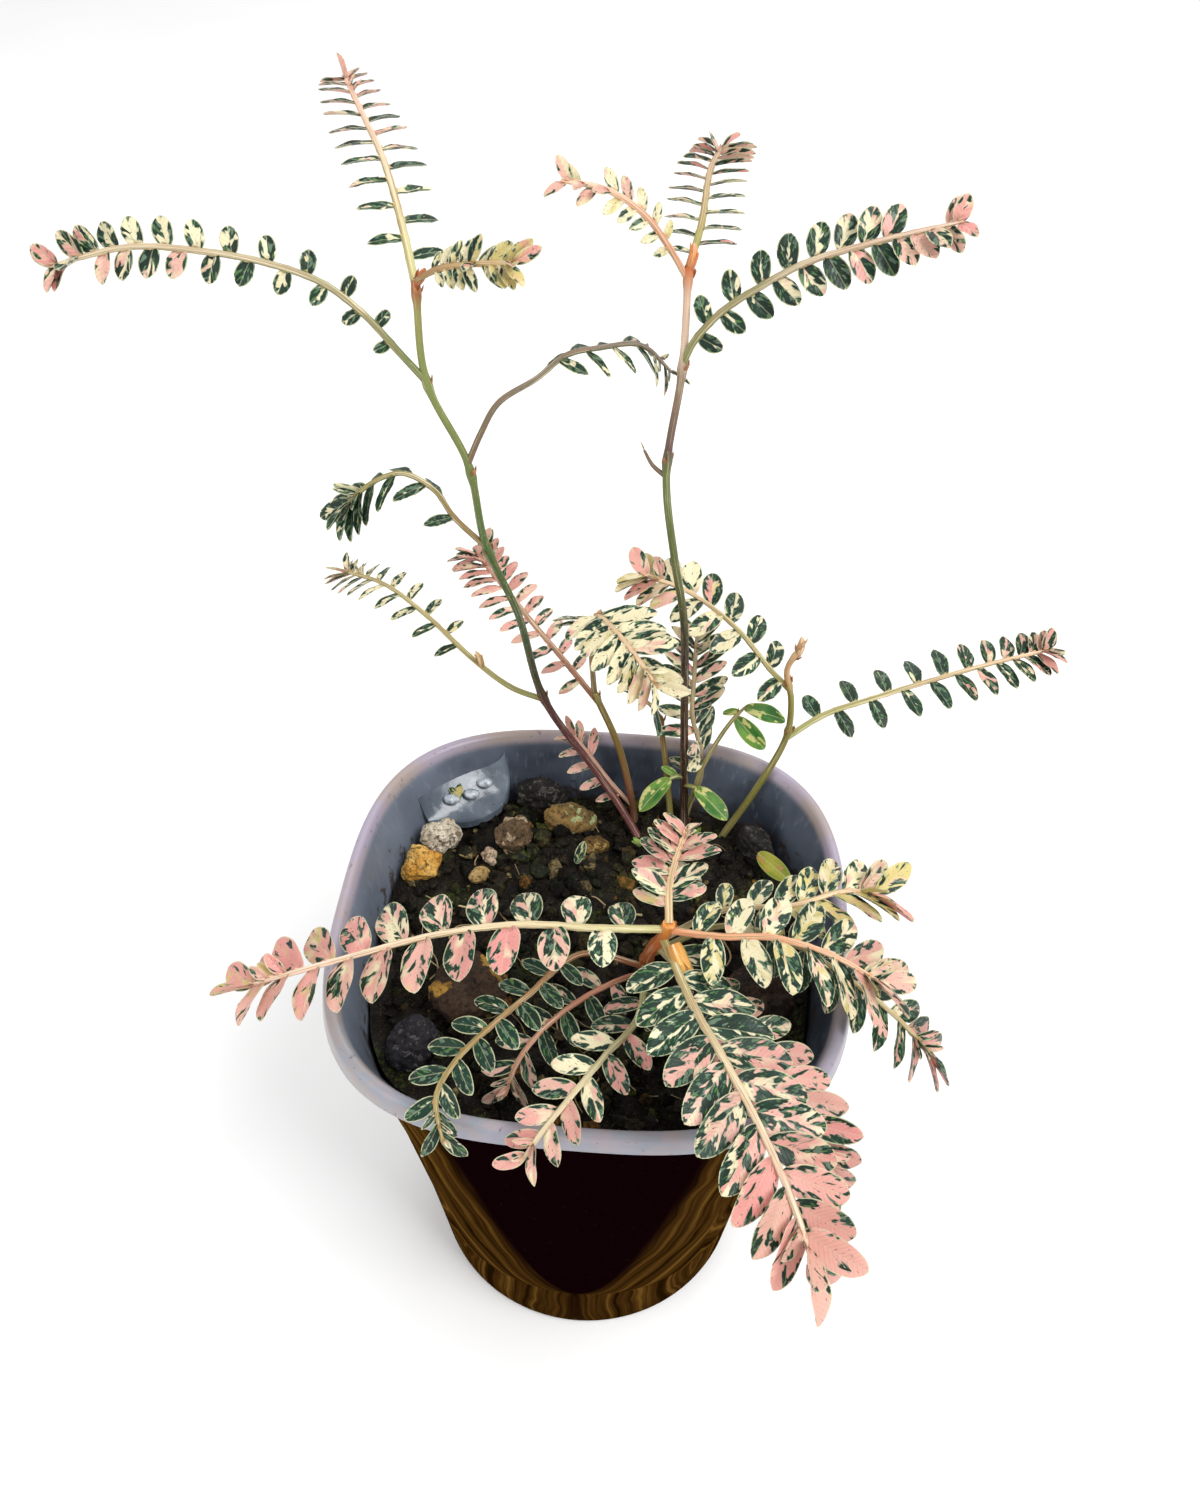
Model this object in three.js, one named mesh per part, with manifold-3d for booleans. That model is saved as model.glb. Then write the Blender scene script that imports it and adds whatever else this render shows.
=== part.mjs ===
// Potted variegated chamber bitter: a square-rimmed plastic pot of soil and stones, with six thin
// stems that carry fronds of small flat leaflets.
// Millimetres, +Z up. The origin is the middle of the pot's flat base.
import * as THREE from "three";
import Module from "manifold-3d";

const wasm = await Module();
wasm.setup();

// Pot
const POT_SIDES = 32;
const POT_HEIGHT = 130;
const FLOOR_TOP = 3.0;
// Each row of a pot profile is half width, height and corner squareness (2 is a circle).
const POT_OUTSIDE = [
  [41.6, 0, 2.0], [43.0, 1.4, 2.0], [46.6, 40, 2.15], [50.4, 80, 2.5], [54.0, 110, 2.85],
  [55.8, 120.5, 3.0], [57.2, 123.8, 3.05], [60.0, 124.6, 3.06],
  [59.4, 129.2, 3.06], [58.4, POT_HEIGHT, 3.06], [57.2, 129.6, 3.06], [55.6, 126, 3.06],
];
const POT_INSIDE = [
  [54.1, 120.5, 3.0], [52.4, 110, 2.88], [48.8, 80, 2.5], [45.0, 40, 2.15],
  [41.4, FLOOR_TOP, 2.0],
];
// A moulded shelf in the back left corner: its free edge from the rim down and round to the left,
// how far it rises to the wall, its thickness, and three raised lugs on it.
const SHELF_EDGE = [[-26.7, 51.0, 125.5], [-25.6, 48.0, 119], [-26.5, 43.6, 116.2],
  [-29.5, 39.6, 115.6], [-34.8, 36.4, 115.4], [-40.6, 35.4, 115.6], [-44.6, 34.6, 116.2]];
const SHELF_RISE = 6.5;
const SHELF_THICK = 1.5;
const SHELF_WALL_REACH = 54.6;
const LUGS = [[-32.0, 46.6, 120.4], [-35.2, 43.2, 119.4], [-40.0, 40.6, 119.6]];
const LUG_SIZE = [2.2, 1.5, 1.5];
const SHELF_STATIONS = 9;
const SHELF_BELOW_RIM = 3;

// Soil
const GAP = 0.3;
const SOIL_TOP = 112;
const SOIL_RINGS = [0.3, 0.66, 1];
const SOIL_EDGE = [51.7, 2.88];
const SOIL_WALL = [[50.7, 100, 2.75], [48.2, 80, 2.5], [44.4, 40, 2.15],
  [40.9, FLOOR_TOP + GAP, 2.0]];

// How far a stone's corners stand in or out, as a part of its half lengths.
const DENT_LEAST = 0.84;
const DENT_SPREAD = 0.3;
// Stones: name, middle, half lengths, turn in degrees, colour, seed.
const STONES = [
  ["stone_white", [-41.5, 30.5, 116], [5.4, 4.0, 4.2], 12, 0xd8cdb8, 1],
  ["stone_yellow", [-45, 21.5, 115], [4.6, 4.8, 4.4], 40, 0xc08a3c, 2],
  ["stone_tan_back", [-22.5, 33.5, 115.4], [5.2, 4.4, 4.8], 80, 0x9b8565, 3],
  ["stone_tan_clump", [-9, 40.2, 115.5], [7.2, 3.8, 4.2], 5, 0x8d7648, 4],
  ["stone_small_tan", [-30, 20.2, 113.6], [2.8, 2.2, 2.0], 30, 0xb09262, 5],
  ["stone_shell", [-28.6, 27.4, 113.6], [1.9, 3.2, 1.9], 20, 0xa88f78, 6],
  ["stone_ochre", [-1.8, 32.6, 113.8], [3.4, 2.6, 2.4], 15, 0x7a6238, 7],
  ["stone_black_back", [-17.5, 46.8, 117], [6.8, 2.8, 5.6], 0, 0x1f1c18, 8],
  ["stone_black_right", [39.4, 35.0, 115], [3.6, 6.2, 6.0], 35, 0x26241f, 9],
  ["stone_rock_right", [39.4, -13, 113.5], [8.4, 11.0, 7.0], 0, 0x3a2a20, 10],
  ["stone_rock_left", [-28, -14.5, 114], [9.0, 9.2, 6.2], 25, 0x5a4632, 11],
  ["stone_dark_left", [-38.6, -29.8, 113], [6.0, 7.2, 5.2], -20, 0x2a2825, 12],
];

// Stems: path from the root in the soil to the top, radius at root and top, places of the
// swollen joints as parts of the length, colour.
const STEMS = [
  { name: "stem_a", path: [[13, 33.5, 102], [9.8, 36.8, 112], [4, 42.9, 118.5], [-3, 46, 128.5],
    [-16, 48, 150], [-22, 49, 176], [-29, 50, 195], [-32, 51, 215], [-40, 53, 233],
    [-41, 55, 254]],
    radius: [1.05, 0.75], joints: [0.36, 0.62, 0.74, 0.87, 0.985], colour: 0x6b5a3c },
  { name: "stem_b", path: [[8.6, 43, 102], [7.7, 45.5, 112], [3, 51.4, 131], [-4, 54, 148]],
    radius: [1.0, 0.85], joints: [0.97], colour: 0x6e4a3c },
  { name: "stem_c", path: [[21.4, 38.5, 102], [21.1, 41.3, 112], [20.3, 44.5, 125],
    [19, 46.8, 147], [17, 48, 178], [14, 49, 194], [11, 50, 216], [13, 52, 239], [13, 54, 260]],
    radius: [1.1, 0.75], joints: [0.08, 0.74, 0.87, 0.985], colour: 0x5a4a34,
    twig: [[11, 50, 215], [8, 51, 217], [6, 52, 220]] },
  { name: "stem_d", path: [[28.5, 36.5, 102], [31, 40, 112], [34.6, 42.8, 118], [38.2, 45, 124.5],
    [45, 50, 140], [45, 51, 152], [43, 52, 161], [45, 52, 167]],
    radius: [1.05, 0.7], joints: [0.64, 0.85, 0.97], colour: 0x8a8450 },
  { name: "stem_e", path: [[18.2, 36.5, 102], [17.8, 39.6, 112], [16.4, 45.4, 122], [13, 53, 142]],
    radius: [0.9, 0.7], joints: [0.97], colour: 0x6c6a3a },
  { name: "stem_f", path: [[15, -9, 101], [14.7, -12, 112], [13, -17, 130], [14, -21, 142],
    [16.4, -23, 150], [17.4, -23.6, 155]],
    radius: [1.5, 1.35], joints: [0.52, 0.66, 0.82, 0.96], colour: 0xb8864e },
];
const TWIG_RADIUS = [0.6, 0.35];
const TWIG_STATIONS = 3;
const STEM_SIDES = 5;
const STEM_STEP = 13;
const JOINT_SWELL = 0.45;
const JOINT_REACH = 0.018;
const STATION_LEAST = 0.005;

// Fronds: rib path from the stem outward, number of leaflets, bare part of the rib, crowding of
// the leaflets toward the tip, leaflet length near the stem, halfway and at the tip, width as a
// part of length, lean from the rib near the stem and at the tip, the way the flat side faces
// near the stem and at the tip (x and y beside a z of 1), droop, turn about the leaflet's own
// length, side of the first leaflet, rib radius at the stem and at the tip, colour.
const FRONDS = [
  { name: "frond_a1", stem: "stem_a", path: [[-40, 53, 233], [-45, 52, 240], [-51, 50, 249],
    [-58, 48, 256], [-68, 45, 261], [-79, 42, 264], [-90, 38, 266], [-105, 35, 263]],
    count: 32, bare: 0.14, crowd: 2.1, leaf: [3.9, 6.2, 4.8], ratio: 0.66, sweep: [82, 42],
    face: [[0, -1.5], [0, -0.7]], hang: 8, turn: 12, first: 1, rib: [0.75, 0.5], colour: 0xa9ad8c },
  { name: "frond_a2", stem: "stem_a", path: [[-41, 55, 253], [-45, 66, 260], [-51, 82, 266],
    [-58, 98, 269], [-65, 112, 273]],
    count: 24, bare: 0.1, crowd: 1.7, leaf: [7.5, 8.8, 5.5], ratio: 0.4, sweep: [84, 45],
    face: [[0, 0.05], [0, 0]], hang: 8, turn: 10, first: -1, rib: [0.85, 0.5], colour: 0x9c9a80 },
  { name: "frond_a3", stem: "stem_a", path: [[-40, 53, 255], [-35, 50, 259], [-28, 46, 262],
    [-19, 41, 265]],
    count: 22, bare: 0.25, crowd: 1.35, leaf: [4, 6.5, 6], ratio: 0.42, sweep: [65, 32],
    face: [[0, -1], [0, -0.8]], hang: 8, turn: 26, first: 1, rib: [0.65, 0.5], colour: 0xb7a878 },
  { name: "frond_a4", stem: "stem_a", path: [[-31, 51, 215], [-29, 52, 222], [-25, 53, 229],
    [-17, 55, 234], [-11, 56, 239], [-4, 58, 240], [4, 60, 240], [11, 62, 233]],
    count: 14, bare: 0.48, crowd: 1.3, leaf: [7.5, 7.5, 5.5], ratio: 0.36, sweep: [55, 35],
    face: [[0, -0.1], [0, -0.1]], hang: 28, turn: 12, first: 1, rib: [0.75, 0.5],
    colour: 0x7a7568 },
  { name: "frond_a5", stem: "stem_a", path: [[-16, 48, 150], [-25, 53, 149], [-36, 61, 151],
    [-49, 71, 156], [-61, 79, 159], [-73, 86, 157]],
    count: 22, bare: 0.42, crowd: 2.2, leaf: [6.8, 8.2, 6], ratio: 0.4, sweep: [80, 40],
    face: [[0, -0.1], [0, -0.1]], hang: 8, turn: 12, first: 1, rib: [0.8, 0.5],
    colour: 0x97946c },
  { name: "frond_a6", stem: "stem_a", path: [[-29, 50, 194], [-36, 51, 201], [-40, 52, 207],
    [-47, 52, 211], [-54, 50, 209], [-58, 47, 206]],
    count: 16, bare: 0.26, crowd: 2.8, leaf: [8, 10.5, 10], ratio: 0.36, sweep: [60, 26],
    face: [[0, 0.1], [0, -0.3]], hang: 30, turn: 12, first: 1, rib: [0.75, 0.5],
    colour: 0x6c6a48 },
  { name: "frond_b1", stem: "stem_b", path: [[-2.6, 53.6, 144.6], [-14, 60.6, 155], [-21, 66, 160],
    [-28, 72, 165], [-36, 78, 171]],
    count: 30, bare: 0.16, crowd: 2, leaf: [7.5, 9.5, 7.5], ratio: 0.34, sweep: [82, 50],
    face: [[0.1, 0], [0, 0]], hang: 8, turn: 16, first: 1, rib: [0.85, 0.55], colour: 0xb89a8c },
  { name: "frond_b2", stem: "stem_b", path: [[-4, 54, 148], [-4.6, 51.6, 164], [-3, 46, 179],
    [4, 36, 180], [12, 27, 175]],
    count: 24, bare: 0.42, crowd: 1.2, leaf: [10.5, 11.5, 8], ratio: 0.38, sweep: [75, 32],
    face: [[0, 0], [0, 0]], hang: 8, turn: 22, first: 1, rib: [0.75, 0.5], colour: 0xb9a890 },
  { name: "frond_b3", stem: "stem_b", path: [[7.4, 46.4, 115], [2, 47.6, 121], [-4, 49.5, 129],
    [-9, 51.5, 135]],
    count: 10, bare: 0.2, crowd: 1.3, leaf: [7, 8, 6], ratio: 0.34, sweep: [75, 45],
    face: [[0, 0], [0, 0]], hang: 8, turn: 20, first: 1, rib: [0.65, 0.5], colour: 0xc0a090 },
  { name: "frond_c1", stem: "stem_c", path: [[13, 52, 240], [15, 51, 246], [20, 50, 253],
    [27, 49, 259], [35, 47, 265], [46, 45, 270], [61, 42, 276]],
    count: 30, bare: 0.12, crowd: 1.9, leaf: [5.6, 7.2, 3.8], ratio: 0.62, sweep: [75, 45],
    face: [[0, -1.3], [0, -0.8]], hang: 8, turn: 12, first: -1, rib: [0.75, 0.5],
    colour: 0xa5a98a },
  { name: "frond_c2", stem: "stem_c", path: [[12.4, 53.4, 257.5], [9, 53, 264], [4, 51, 271],
    [-3, 49, 276], [-11, 47, 278]],
    count: 22, bare: 0.22, crowd: 1.6, leaf: [3.8, 5.4, 5], ratio: 0.46, sweep: [65, 32],
    face: [[0, -0.8], [0, -0.8]], hang: 8, turn: 12, first: 1, rib: [0.65, 0.5],
    colour: 0xc9b09a },
  { name: "frond_c3", stem: "stem_c", path: [[13.6, 55, 261], [15, 62, 265], [16, 72, 271],
    [18, 80, 273]],
    count: 22, bare: 0.1, crowd: 1.5, leaf: [8, 8, 7.5], ratio: 0.34, sweep: [80, 55],
    face: [[0, 0.36], [0, 0.36]], hang: 8, turn: 38, first: 1, rib: [0.7, 0.5],
    colour: 0x8f8a72 },
  { name: "frond_d1", stem: "stem_d", path: [[46, 50, 140], [54, 54, 145], [66, 59, 147],
    [81, 65, 149], [95, 70, 151], [111, 74, 154]],
    count: 26, bare: 0.13, crowd: 2.1, leaf: [8, 8.8, 6], ratio: 0.54, sweep: [88, 45],
    face: [[0, -0.3], [0, -0.2]], hang: 8, turn: 12, first: 1, rib: [0.8, 0.5],
    colour: 0x8b9078 },
  { name: "frond_d2", stem: "stem_d", path: [[44, 51, 155], [39, 53, 160], [30, 57, 169],
    [18, 61, 176], [7, 64, 178]],
    count: 20, bare: 0.08, crowd: 1.9, leaf: [9, 10.5, 8], ratio: 0.5, sweep: [80, 40],
    face: [[0.3, -0.3], [0, -0.2]], hang: 8, turn: 12, first: 1, rib: [0.75, 0.5],
    colour: 0xa9a486 },
  { name: "frond_d3", stem: "stem_c", path: [[20.7, 43, 118.5], [22.8, 44.6, 124],
    [24, 46.2, 129.5], [27.3, 49, 137], [30.8, 50, 144.5], [34, 52, 148]],
    count: 3, bare: 0.9, crowd: 1, leaf: [11.5, 5, 12], ratio: 0.42, sweep: [99, 200],
    face: [[0, -0.5], [0, -0.5]], hang: 26, turn: 8, first: -1, rib: [0.65, 0.5],
    colour: 0x7b7a48 },
  { name: "frond_e1", stem: "stem_c", path: [[21, 42, 114.5], [22.5, 46.5, 119],
    [24.5, 48.6, 125.6], [23.4, 49.4, 136.4], [21, 51.5, 144.6], [20.8, 54.5, 153.5],
    [20.7, 60, 164]],
    count: 22, bare: 0.3, crowd: 1.2, leaf: [9, 10, 7], ratio: 0.36, sweep: [72, 40],
    face: [[0, 0], [0, 0]], hang: 8, turn: 22, first: 1, rib: [0.65, 0.5], colour: 0x77785c },
  { name: "frond_e2", stem: "stem_e", path: [[13, 53, 142], [10, 50, 149], [5, 47, 155]],
    count: 3, bare: 0.35, crowd: 1, leaf: [9, 8, 4], ratio: 0.36, sweep: [80, 45],
    face: [[0, 0], [0, 0]], hang: 8, turn: 12, first: 1, rib: [0.65, 0.5], colour: 0x6e7a40 },
  { name: "frond_e3", stem: "stem_c", path: [[20, 45.4, 129], [18.3, 44, 130],
    [16.4, 42.8, 130.2]],
    count: 2, bare: 0.55, crowd: 1, leaf: [5, 8, 11.5], ratio: 0.46, sweep: [60, 90],
    face: [[-0.3, -0.8], [-0.3, -0.8]], hang: 30, turn: 8, first: -1, rib: [0.6, 0.5],
    colour: 0x5d7a2e },
  { name: "frond_e4", stem: "stem_c", path: [[20.3, 44.6, 126], [21.6, 42.9, 127.8],
    [23.2, 41.6, 128.6]],
    count: 2, bare: 0.5, crowd: 1, leaf: [4.5, 8, 11.5], ratio: 0.46, sweep: [115, 90],
    face: [[0.3, -0.8], [0.3, -0.8]], hang: 32, turn: 8, first: 1, rib: [0.6, 0.5],
    colour: 0x5d7a2e },
  { name: "frond_f1", stem: "stem_f", path: [[17, -23.4, 153], [3, -26, 155], [-13, -28, 157],
    [-29, -31, 156], [-49, -37, 153], [-67, -42, 149]],
    count: 22, bare: 0.1, crowd: 1.35, leaf: [9.4, 12.3, 9], ratio: 0.62, sweep: [88, 46],
    face: [[0, 0.1], [0, 0]], hang: 8, turn: 12, first: -1, rib: [0.9, 0.55], colour: 0xc3b79c },
  { name: "frond_f2", stem: "stem_f", path: [[17.4, -23.6, 155], [17, -17, 158], [18, -11, 160],
    [20, -4, 162]],
    count: 16, bare: 0.2, crowd: 1, leaf: [8, 10, 6], ratio: 0.5, sweep: [70, 60],
    face: [[0, 0], [0, 0]], hang: 8, turn: 12, first: 1, rib: [0.85, 0.5], colour: 0xbfb091 },
  { name: "frond_f3", stem: "stem_f", path: [[17, -23.4, 152.6], [28, -26, 155], [39, -27, 157],
    [51, -29, 155], [61, -32, 151]],
    count: 16, bare: 0.14, crowd: 1.4, leaf: [10.5, 13.5, 10], ratio: 0.46, sweep: [80, 30],
    face: [[0, 0], [0, 0]], hang: 8, turn: 12, first: 1, rib: [0.85, 0.5], colour: 0xaab08c },
  { name: "frond_f4", stem: "stem_f", path: [[15.8, -22.4, 148], [29, -15, 150], [43, -15, 153],
    [54, -11, 154], [62, -9, 152]],
    count: 16, bare: 0.3, crowd: 1.3, leaf: [8.5, 11.5, 11], ratio: 0.46, sweep: [70, 32],
    face: [[0, 0], [0, 0]], hang: 8, turn: 12, first: 1, rib: [0.75, 0.5], colour: 0xb9b38c },
  { name: "frond_f5", stem: "stem_f", path: [[15, -17, 140], [29, -13, 142], [43, -15, 141],
    [57, -21, 137], [68, -27, 132], [76, -31, 125]],
    count: 18, bare: 0.35, crowd: 1.4, leaf: [9, 10.5, 9], ratio: 0.5, sweep: [75, 34],
    face: [[0, 0], [0, 0]], hang: 16, turn: 12, first: 1, rib: [0.75, 0.5], colour: 0x86886c },
  { name: "frond_f6", stem: "stem_f", path: [[16.2, -22.8, 149.4], [23, -43, 154], [29, -56, 156],
    [36, -69, 154], [42, -80, 149], [46, -89, 144]],
    count: 24, bare: 0.08, crowd: 1.2, leaf: [11, 14.5, 11.5], ratio: 0.5, sweep: [74, 30],
    face: [[0, 0], [0, 0]], hang: 8, turn: 12, first: 1, rib: [0.9, 0.55], colour: 0xc2a99c },
  { name: "frond_f7", stem: "stem_f", path: [[15.2, -22, 145.4], [29, -35, 142], [36, -42, 141],
    [42, -49, 139], [48, -58, 136], [52, -64, 131]],
    count: 18, bare: 0.25, crowd: 1.15, leaf: [9, 11.5, 9], ratio: 0.48, sweep: [72, 32],
    face: [[0, 0], [0, 0]], hang: 8, turn: 12, first: 1, rib: [0.8, 0.5], colour: 0xbfa294 },
  { name: "frond_f8", stem: "stem_f", path: [[13.4, -20, 135], [12, -36, 138], [6, -46, 139],
    [0, -55, 138], [-5, -62, 136], [-9, -67, 132]],
    count: 17, bare: 0.16, crowd: 1.15, leaf: [8, 9.5, 7], ratio: 0.46, sweep: [72, 30],
    face: [[0, 0], [0, 0]], hang: 8, turn: 12, first: 1, rib: [0.75, 0.5], colour: 0xa59c86 },
  { name: "frond_f9", stem: "stem_f", path: [[12.4, -17.5, 132], [-1, -17, 134], [-12, -31, 136],
    [-18, -40, 138], [-24, -49, 138.4], [-27, -57, 137], [-25, -63.5, 131]],
    count: 18, bare: 0.28, crowd: 1.2, leaf: [7, 8.2, 7], ratio: 0.48, sweep: [80, 32],
    face: [[0, 0], [0, 0]], hang: 8, turn: 12, first: 1, rib: [0.75, 0.5], colour: 0x8e8f78 },
  { name: "frond_f10", stem: "stem_f", path: [[12.4, -16.6, 127], [9, -19, 129], [0, -26, 130],
    [-8, -34, 129], [-13, -41, 126], [-15, -46, 121]],
    count: 13, bare: 0.2, crowd: 1.15, leaf: [8, 9, 7], ratio: 0.42, sweep: [78, 36],
    face: [[0, 0], [0, 0]], hang: 8, turn: 12, first: 1, rib: [0.7, 0.5], colour: 0x948a78 },
  { name: "frond_f11", stem: "stem_f", path: [[14, -16, 122.5], [19, -23, 125], [26, -31, 126],
    [33, -41, 124]],
    count: 12, bare: 0.2, crowd: 1.1, leaf: [8, 8.5, 7], ratio: 0.46, sweep: [75, 40],
    face: [[0, 0], [0, 0]], hang: 8, turn: 12, first: 1, rib: [0.7, 0.5], colour: 0x84866c },
];
const BLADE = 0.62;
const ARCH = 0.055;
const ROOT_HALF = 0.42;
const PITCH_LEAST = 0.98;
const SHARED_RING = 1.5;
const SMALL_LEAF = 12;
const RIB_STEP = 16;
const TIP_PART = 0.985;
const TIP_STRAIGHTEN = 0.3;
const SWEEP_POWER = 1.5;
const LAST_RING_STEP = 0.2;
// Leaflet outline: part of the length, and distance from the midrib as a part of the width.
const OUTLINE = [[0.14, 0.3], [0.4, 0.5], [0.76, 0.4]];
const SMALL_OUTLINE = [[0.28, 0.46], [0.72, 0.42]];
const LEAN_RANDOM = 8;
const HANG_RANDOM = 8;
const TURN_GAIN = 22;

// A leaflet that would cross another frond, a stem or the pot is bent clear, by the first of
// these extra droops and leans that leaves room, or isn't grown.
const BENDS = [[0, 0], [14, 0], [-14, 0], [28, 0], [-28, 0], [12, 14], [-12, 14], [12, -14],
  [-12, -14], [42, 0], [-42, 0], [28, -20], [-28, -20], [56, 0], [-56, 0]];
const LEAF_CLEAR = 1.0;
const SISTER_CLEAR = 0.74;
const LEAF_MARGIN = 0.5;
const RIB_CLEAR = 0.85;
const NEAR_ROD = 4;
const NEAR_LEAF = 2;
const SPOT_STEP = 1.2;
// The room that leaflets leave above the rim, either side of the wall, over the soil and round
// the stones.
const ABOVE_RIM = 1.2;
const WALL_BAND = [52.5, 61.8];
const ABOVE_SOIL = 4;
const STONE_GROWTH = 1.1;
const ROUND_STONE = [2, 2, 1.5];
const TEST_ALONG = [0.16, 0.3, 0.44, 0.58, 0.72, 0.86, 1];
const TEST_ACROSS = [-1, -0.5, 0, 0.5, 1];

const SPAN_STEPS = 16;
const FRAME_STEP = 0.01;

const vec = (p) => new THREE.Vector3(p[0], p[1], p[2]);

function random01(a, b, c) {
  const x = Math.sin(a * 12.9898 + b * 78.233 + c * 37.719) * 43758.5453;
  return x - Math.floor(x);
}

// A smooth curve through points, as closely spaced points with their distance along it.
function tracePath(points) {
  const curve = new THREE.CatmullRomCurve3(points.map(vec), false, "centripetal");
  const steps = (points.length - 1) * SPAN_STEPS;
  const trace = { points: [], lengths: [] };
  for (let i = 0; i <= steps; i += 1) {
    const point = curve.getPoint(i / steps);
    const last = trace.points[i - 1];
    trace.lengths.push(last ? trace.lengths[i - 1] + point.distanceTo(last) : 0);
    trace.points.push(point);
  }
  trace.total = trace.lengths[steps];
  return trace;
}

function pointAt(trace, distance) {
  const wanted = Math.min(Math.max(distance, 0), trace.total);
  let i = 1;
  while (i < trace.lengths.length - 1 && trace.lengths[i] < wanted) i += 1;
  const share = (wanted - trace.lengths[i - 1]) / (trace.lengths[i] - trace.lengths[i - 1]);
  return trace.points[i - 1].clone().lerp(trace.points[i], share);
}

// The point of a traced path nearest to a place, as a path point.
function nearestOn(trace, place) {
  const sorted = [...trace.points].sort((a, b) => a.distanceTo(place) - b.distanceTo(place));
  return sorted[0].toArray();
}

function directionAt(trace, distance) {
  const step = FRAME_STEP * trace.total;
  return pointAt(trace, distance + step).sub(pointAt(trace, distance - step)).normalize();
}

function solidFrom(positions, triangles) {
  let volume = 0;
  for (const [a, b, c] of triangles) {
    volume += positions[a].dot(positions[b].clone().cross(positions[c]));
  }
  const ordered = volume < 0 ? triangles.map(([a, b, c]) => [a, c, b]) : triangles;
  const vertProperties = new Float32Array(positions.flatMap((p) => [p.x, p.y, p.z]));
  const triVerts = new Uint32Array(ordered.flat());
  return new wasm.Manifold(new wasm.Mesh({ numProp: 3, vertProperties, triVerts }));
}

// Rings of equal point counts, joined in order and closed at both ends.
function solidFromRings(rings, startPoint, endPoint) {
  const count = rings[0].length;
  const positions = rings.flat();
  const triangles = [];
  for (let r = 0; r + 1 < rings.length; r += 1) {
    for (let i = 0; i < count; i += 1) {
      const j = (i + 1) % count;
      const a = r * count + i;
      const b = r * count + j;
      triangles.push([a, b, b + count], [a, b + count, a + count]);
    }
  }
  const start = positions.push(startPoint) - 1;
  const end = positions.push(endPoint) - 1;
  const lastRing = (rings.length - 1) * count;
  for (let i = 0; i < count; i += 1) {
    const j = (i + 1) % count;
    triangles.push([start, j, i], [end, lastRing + i, lastRing + j]);
  }
  return solidFrom(positions, triangles);
}

// A tapering round rod along a traced path. radiusAt gives the radius at a part of the length.
function rodSolid(trace, from, to, stations, sides, radiusAt) {
  const rings = [];
  let across = new THREE.Vector3(0.3, -0.9, 0.2);
  for (const station of stations) {
    const distance = from + (to - from) * station;
    const middle = pointAt(trace, distance);
    const along = directionAt(trace, distance);
    across = across.clone().addScaledVector(along, -across.dot(along)).normalize();
    const other = along.clone().cross(across);
    const radius = radiusAt(station);
    const ring = [];
    for (let i = 0; i < sides; i += 1) {
      const angle = (2 * Math.PI * i) / sides;
      ring.push(middle.clone().addScaledVector(across, radius * Math.cos(angle))
        .addScaledVector(other, radius * Math.sin(angle)));
    }
    rings.push(ring);
  }
  return solidFromRings(rings, pointAt(trace, from), pointAt(trace, to));
}

function evenStations(count) {
  return Array.from({ length: count + 1 }, (_, i) => i / count);
}

function squareRing(half, height, squareness, sides) {
  const ring = [];
  for (let i = 0; i < sides; i += 1) {
    const angle = (2 * Math.PI * (i + 0.5)) / sides;
    const c = Math.cos(angle);
    const s = Math.sin(angle);
    const x = Math.sign(c) * Math.abs(c) ** (2 / squareness);
    const y = Math.sign(s) * Math.abs(s) ** (2 / squareness);
    ring.push(new THREE.Vector3(x * half, y * half, height));
  }
  return ring;
}

function ellipsoid(middle, halfLengths) {
  const merged = mergePoints(new THREE.IcosahedronGeometry(1, 0));
  const positions = merged.positions.map((p) => new THREE.Vector3(
    middle[0] + p.x * halfLengths[0],
    middle[1] + p.y * halfLengths[1],
    middle[2] + p.z * halfLengths[2]));
  return solidFrom(positions, merged.triangles);
}

// The shared corners of a geometry's faces, merged by place.
function mergePoints(geometry) {
  const source = geometry.getAttribute("position");
  const index = geometry.index ? Array.from(geometry.index.array) : null;
  const corners = index || Array.from({ length: source.count }, (_, i) => i);
  const places = new Map();
  const positions = [];
  const order = corners.map((corner) => {
    const point = new THREE.Vector3().fromBufferAttribute(source, corner);
    const key = point.toArray().map((value) => value.toFixed(5)).join(" ");
    if (!places.has(key)) places.set(key, positions.push(point) - 1);
    return places.get(key);
  });
  const triangles = [];
  for (let i = 0; i < order.length; i += 3) {
    triangles.push([order[i], order[i + 1], order[i + 2]]);
  }
  return { positions, triangles };
}

function buildPot() {
  const wallRings = [...POT_OUTSIDE, ...POT_INSIDE].map(
    ([half, height, squareness]) => squareRing(half, height, squareness, POT_SIDES));
  const body = solidFromRings(wallRings, new THREE.Vector3(0, 0, 0),
    new THREE.Vector3(0, 0, FLOOR_TOP));
  const shelfEdge = tracePath(SHELF_EDGE);
  const rings = evenStations(SHELF_STATIONS).map((station) => {
    const edge = pointAt(shelfEdge, station * shelfEdge.total);
    const wall = edge.clone().multiplyScalar(SHELF_WALL_REACH / reachOf(edge));
    const rise = Math.min(SHELF_RISE, POT_HEIGHT - SHELF_BELOW_RIM - edge.z);
    wall.z = edge.z + rise;
    const down = new THREE.Vector3(0, 0, SHELF_THICK);
    return [edge, edge.clone().sub(down), wall.clone().sub(down), wall];
  });
  const middleOf = (ring) => ring[0].clone().lerp(ring[2], 0.5);
  const shelf = solidFromRings(rings, middleOf(rings[0]), middleOf(rings[rings.length - 1]));
  const lugs = LUGS.map((middle) => ellipsoid(middle, LUG_SIZE));
  return wasm.Manifold.union([body, shelf, ...lugs]);
}

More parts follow.
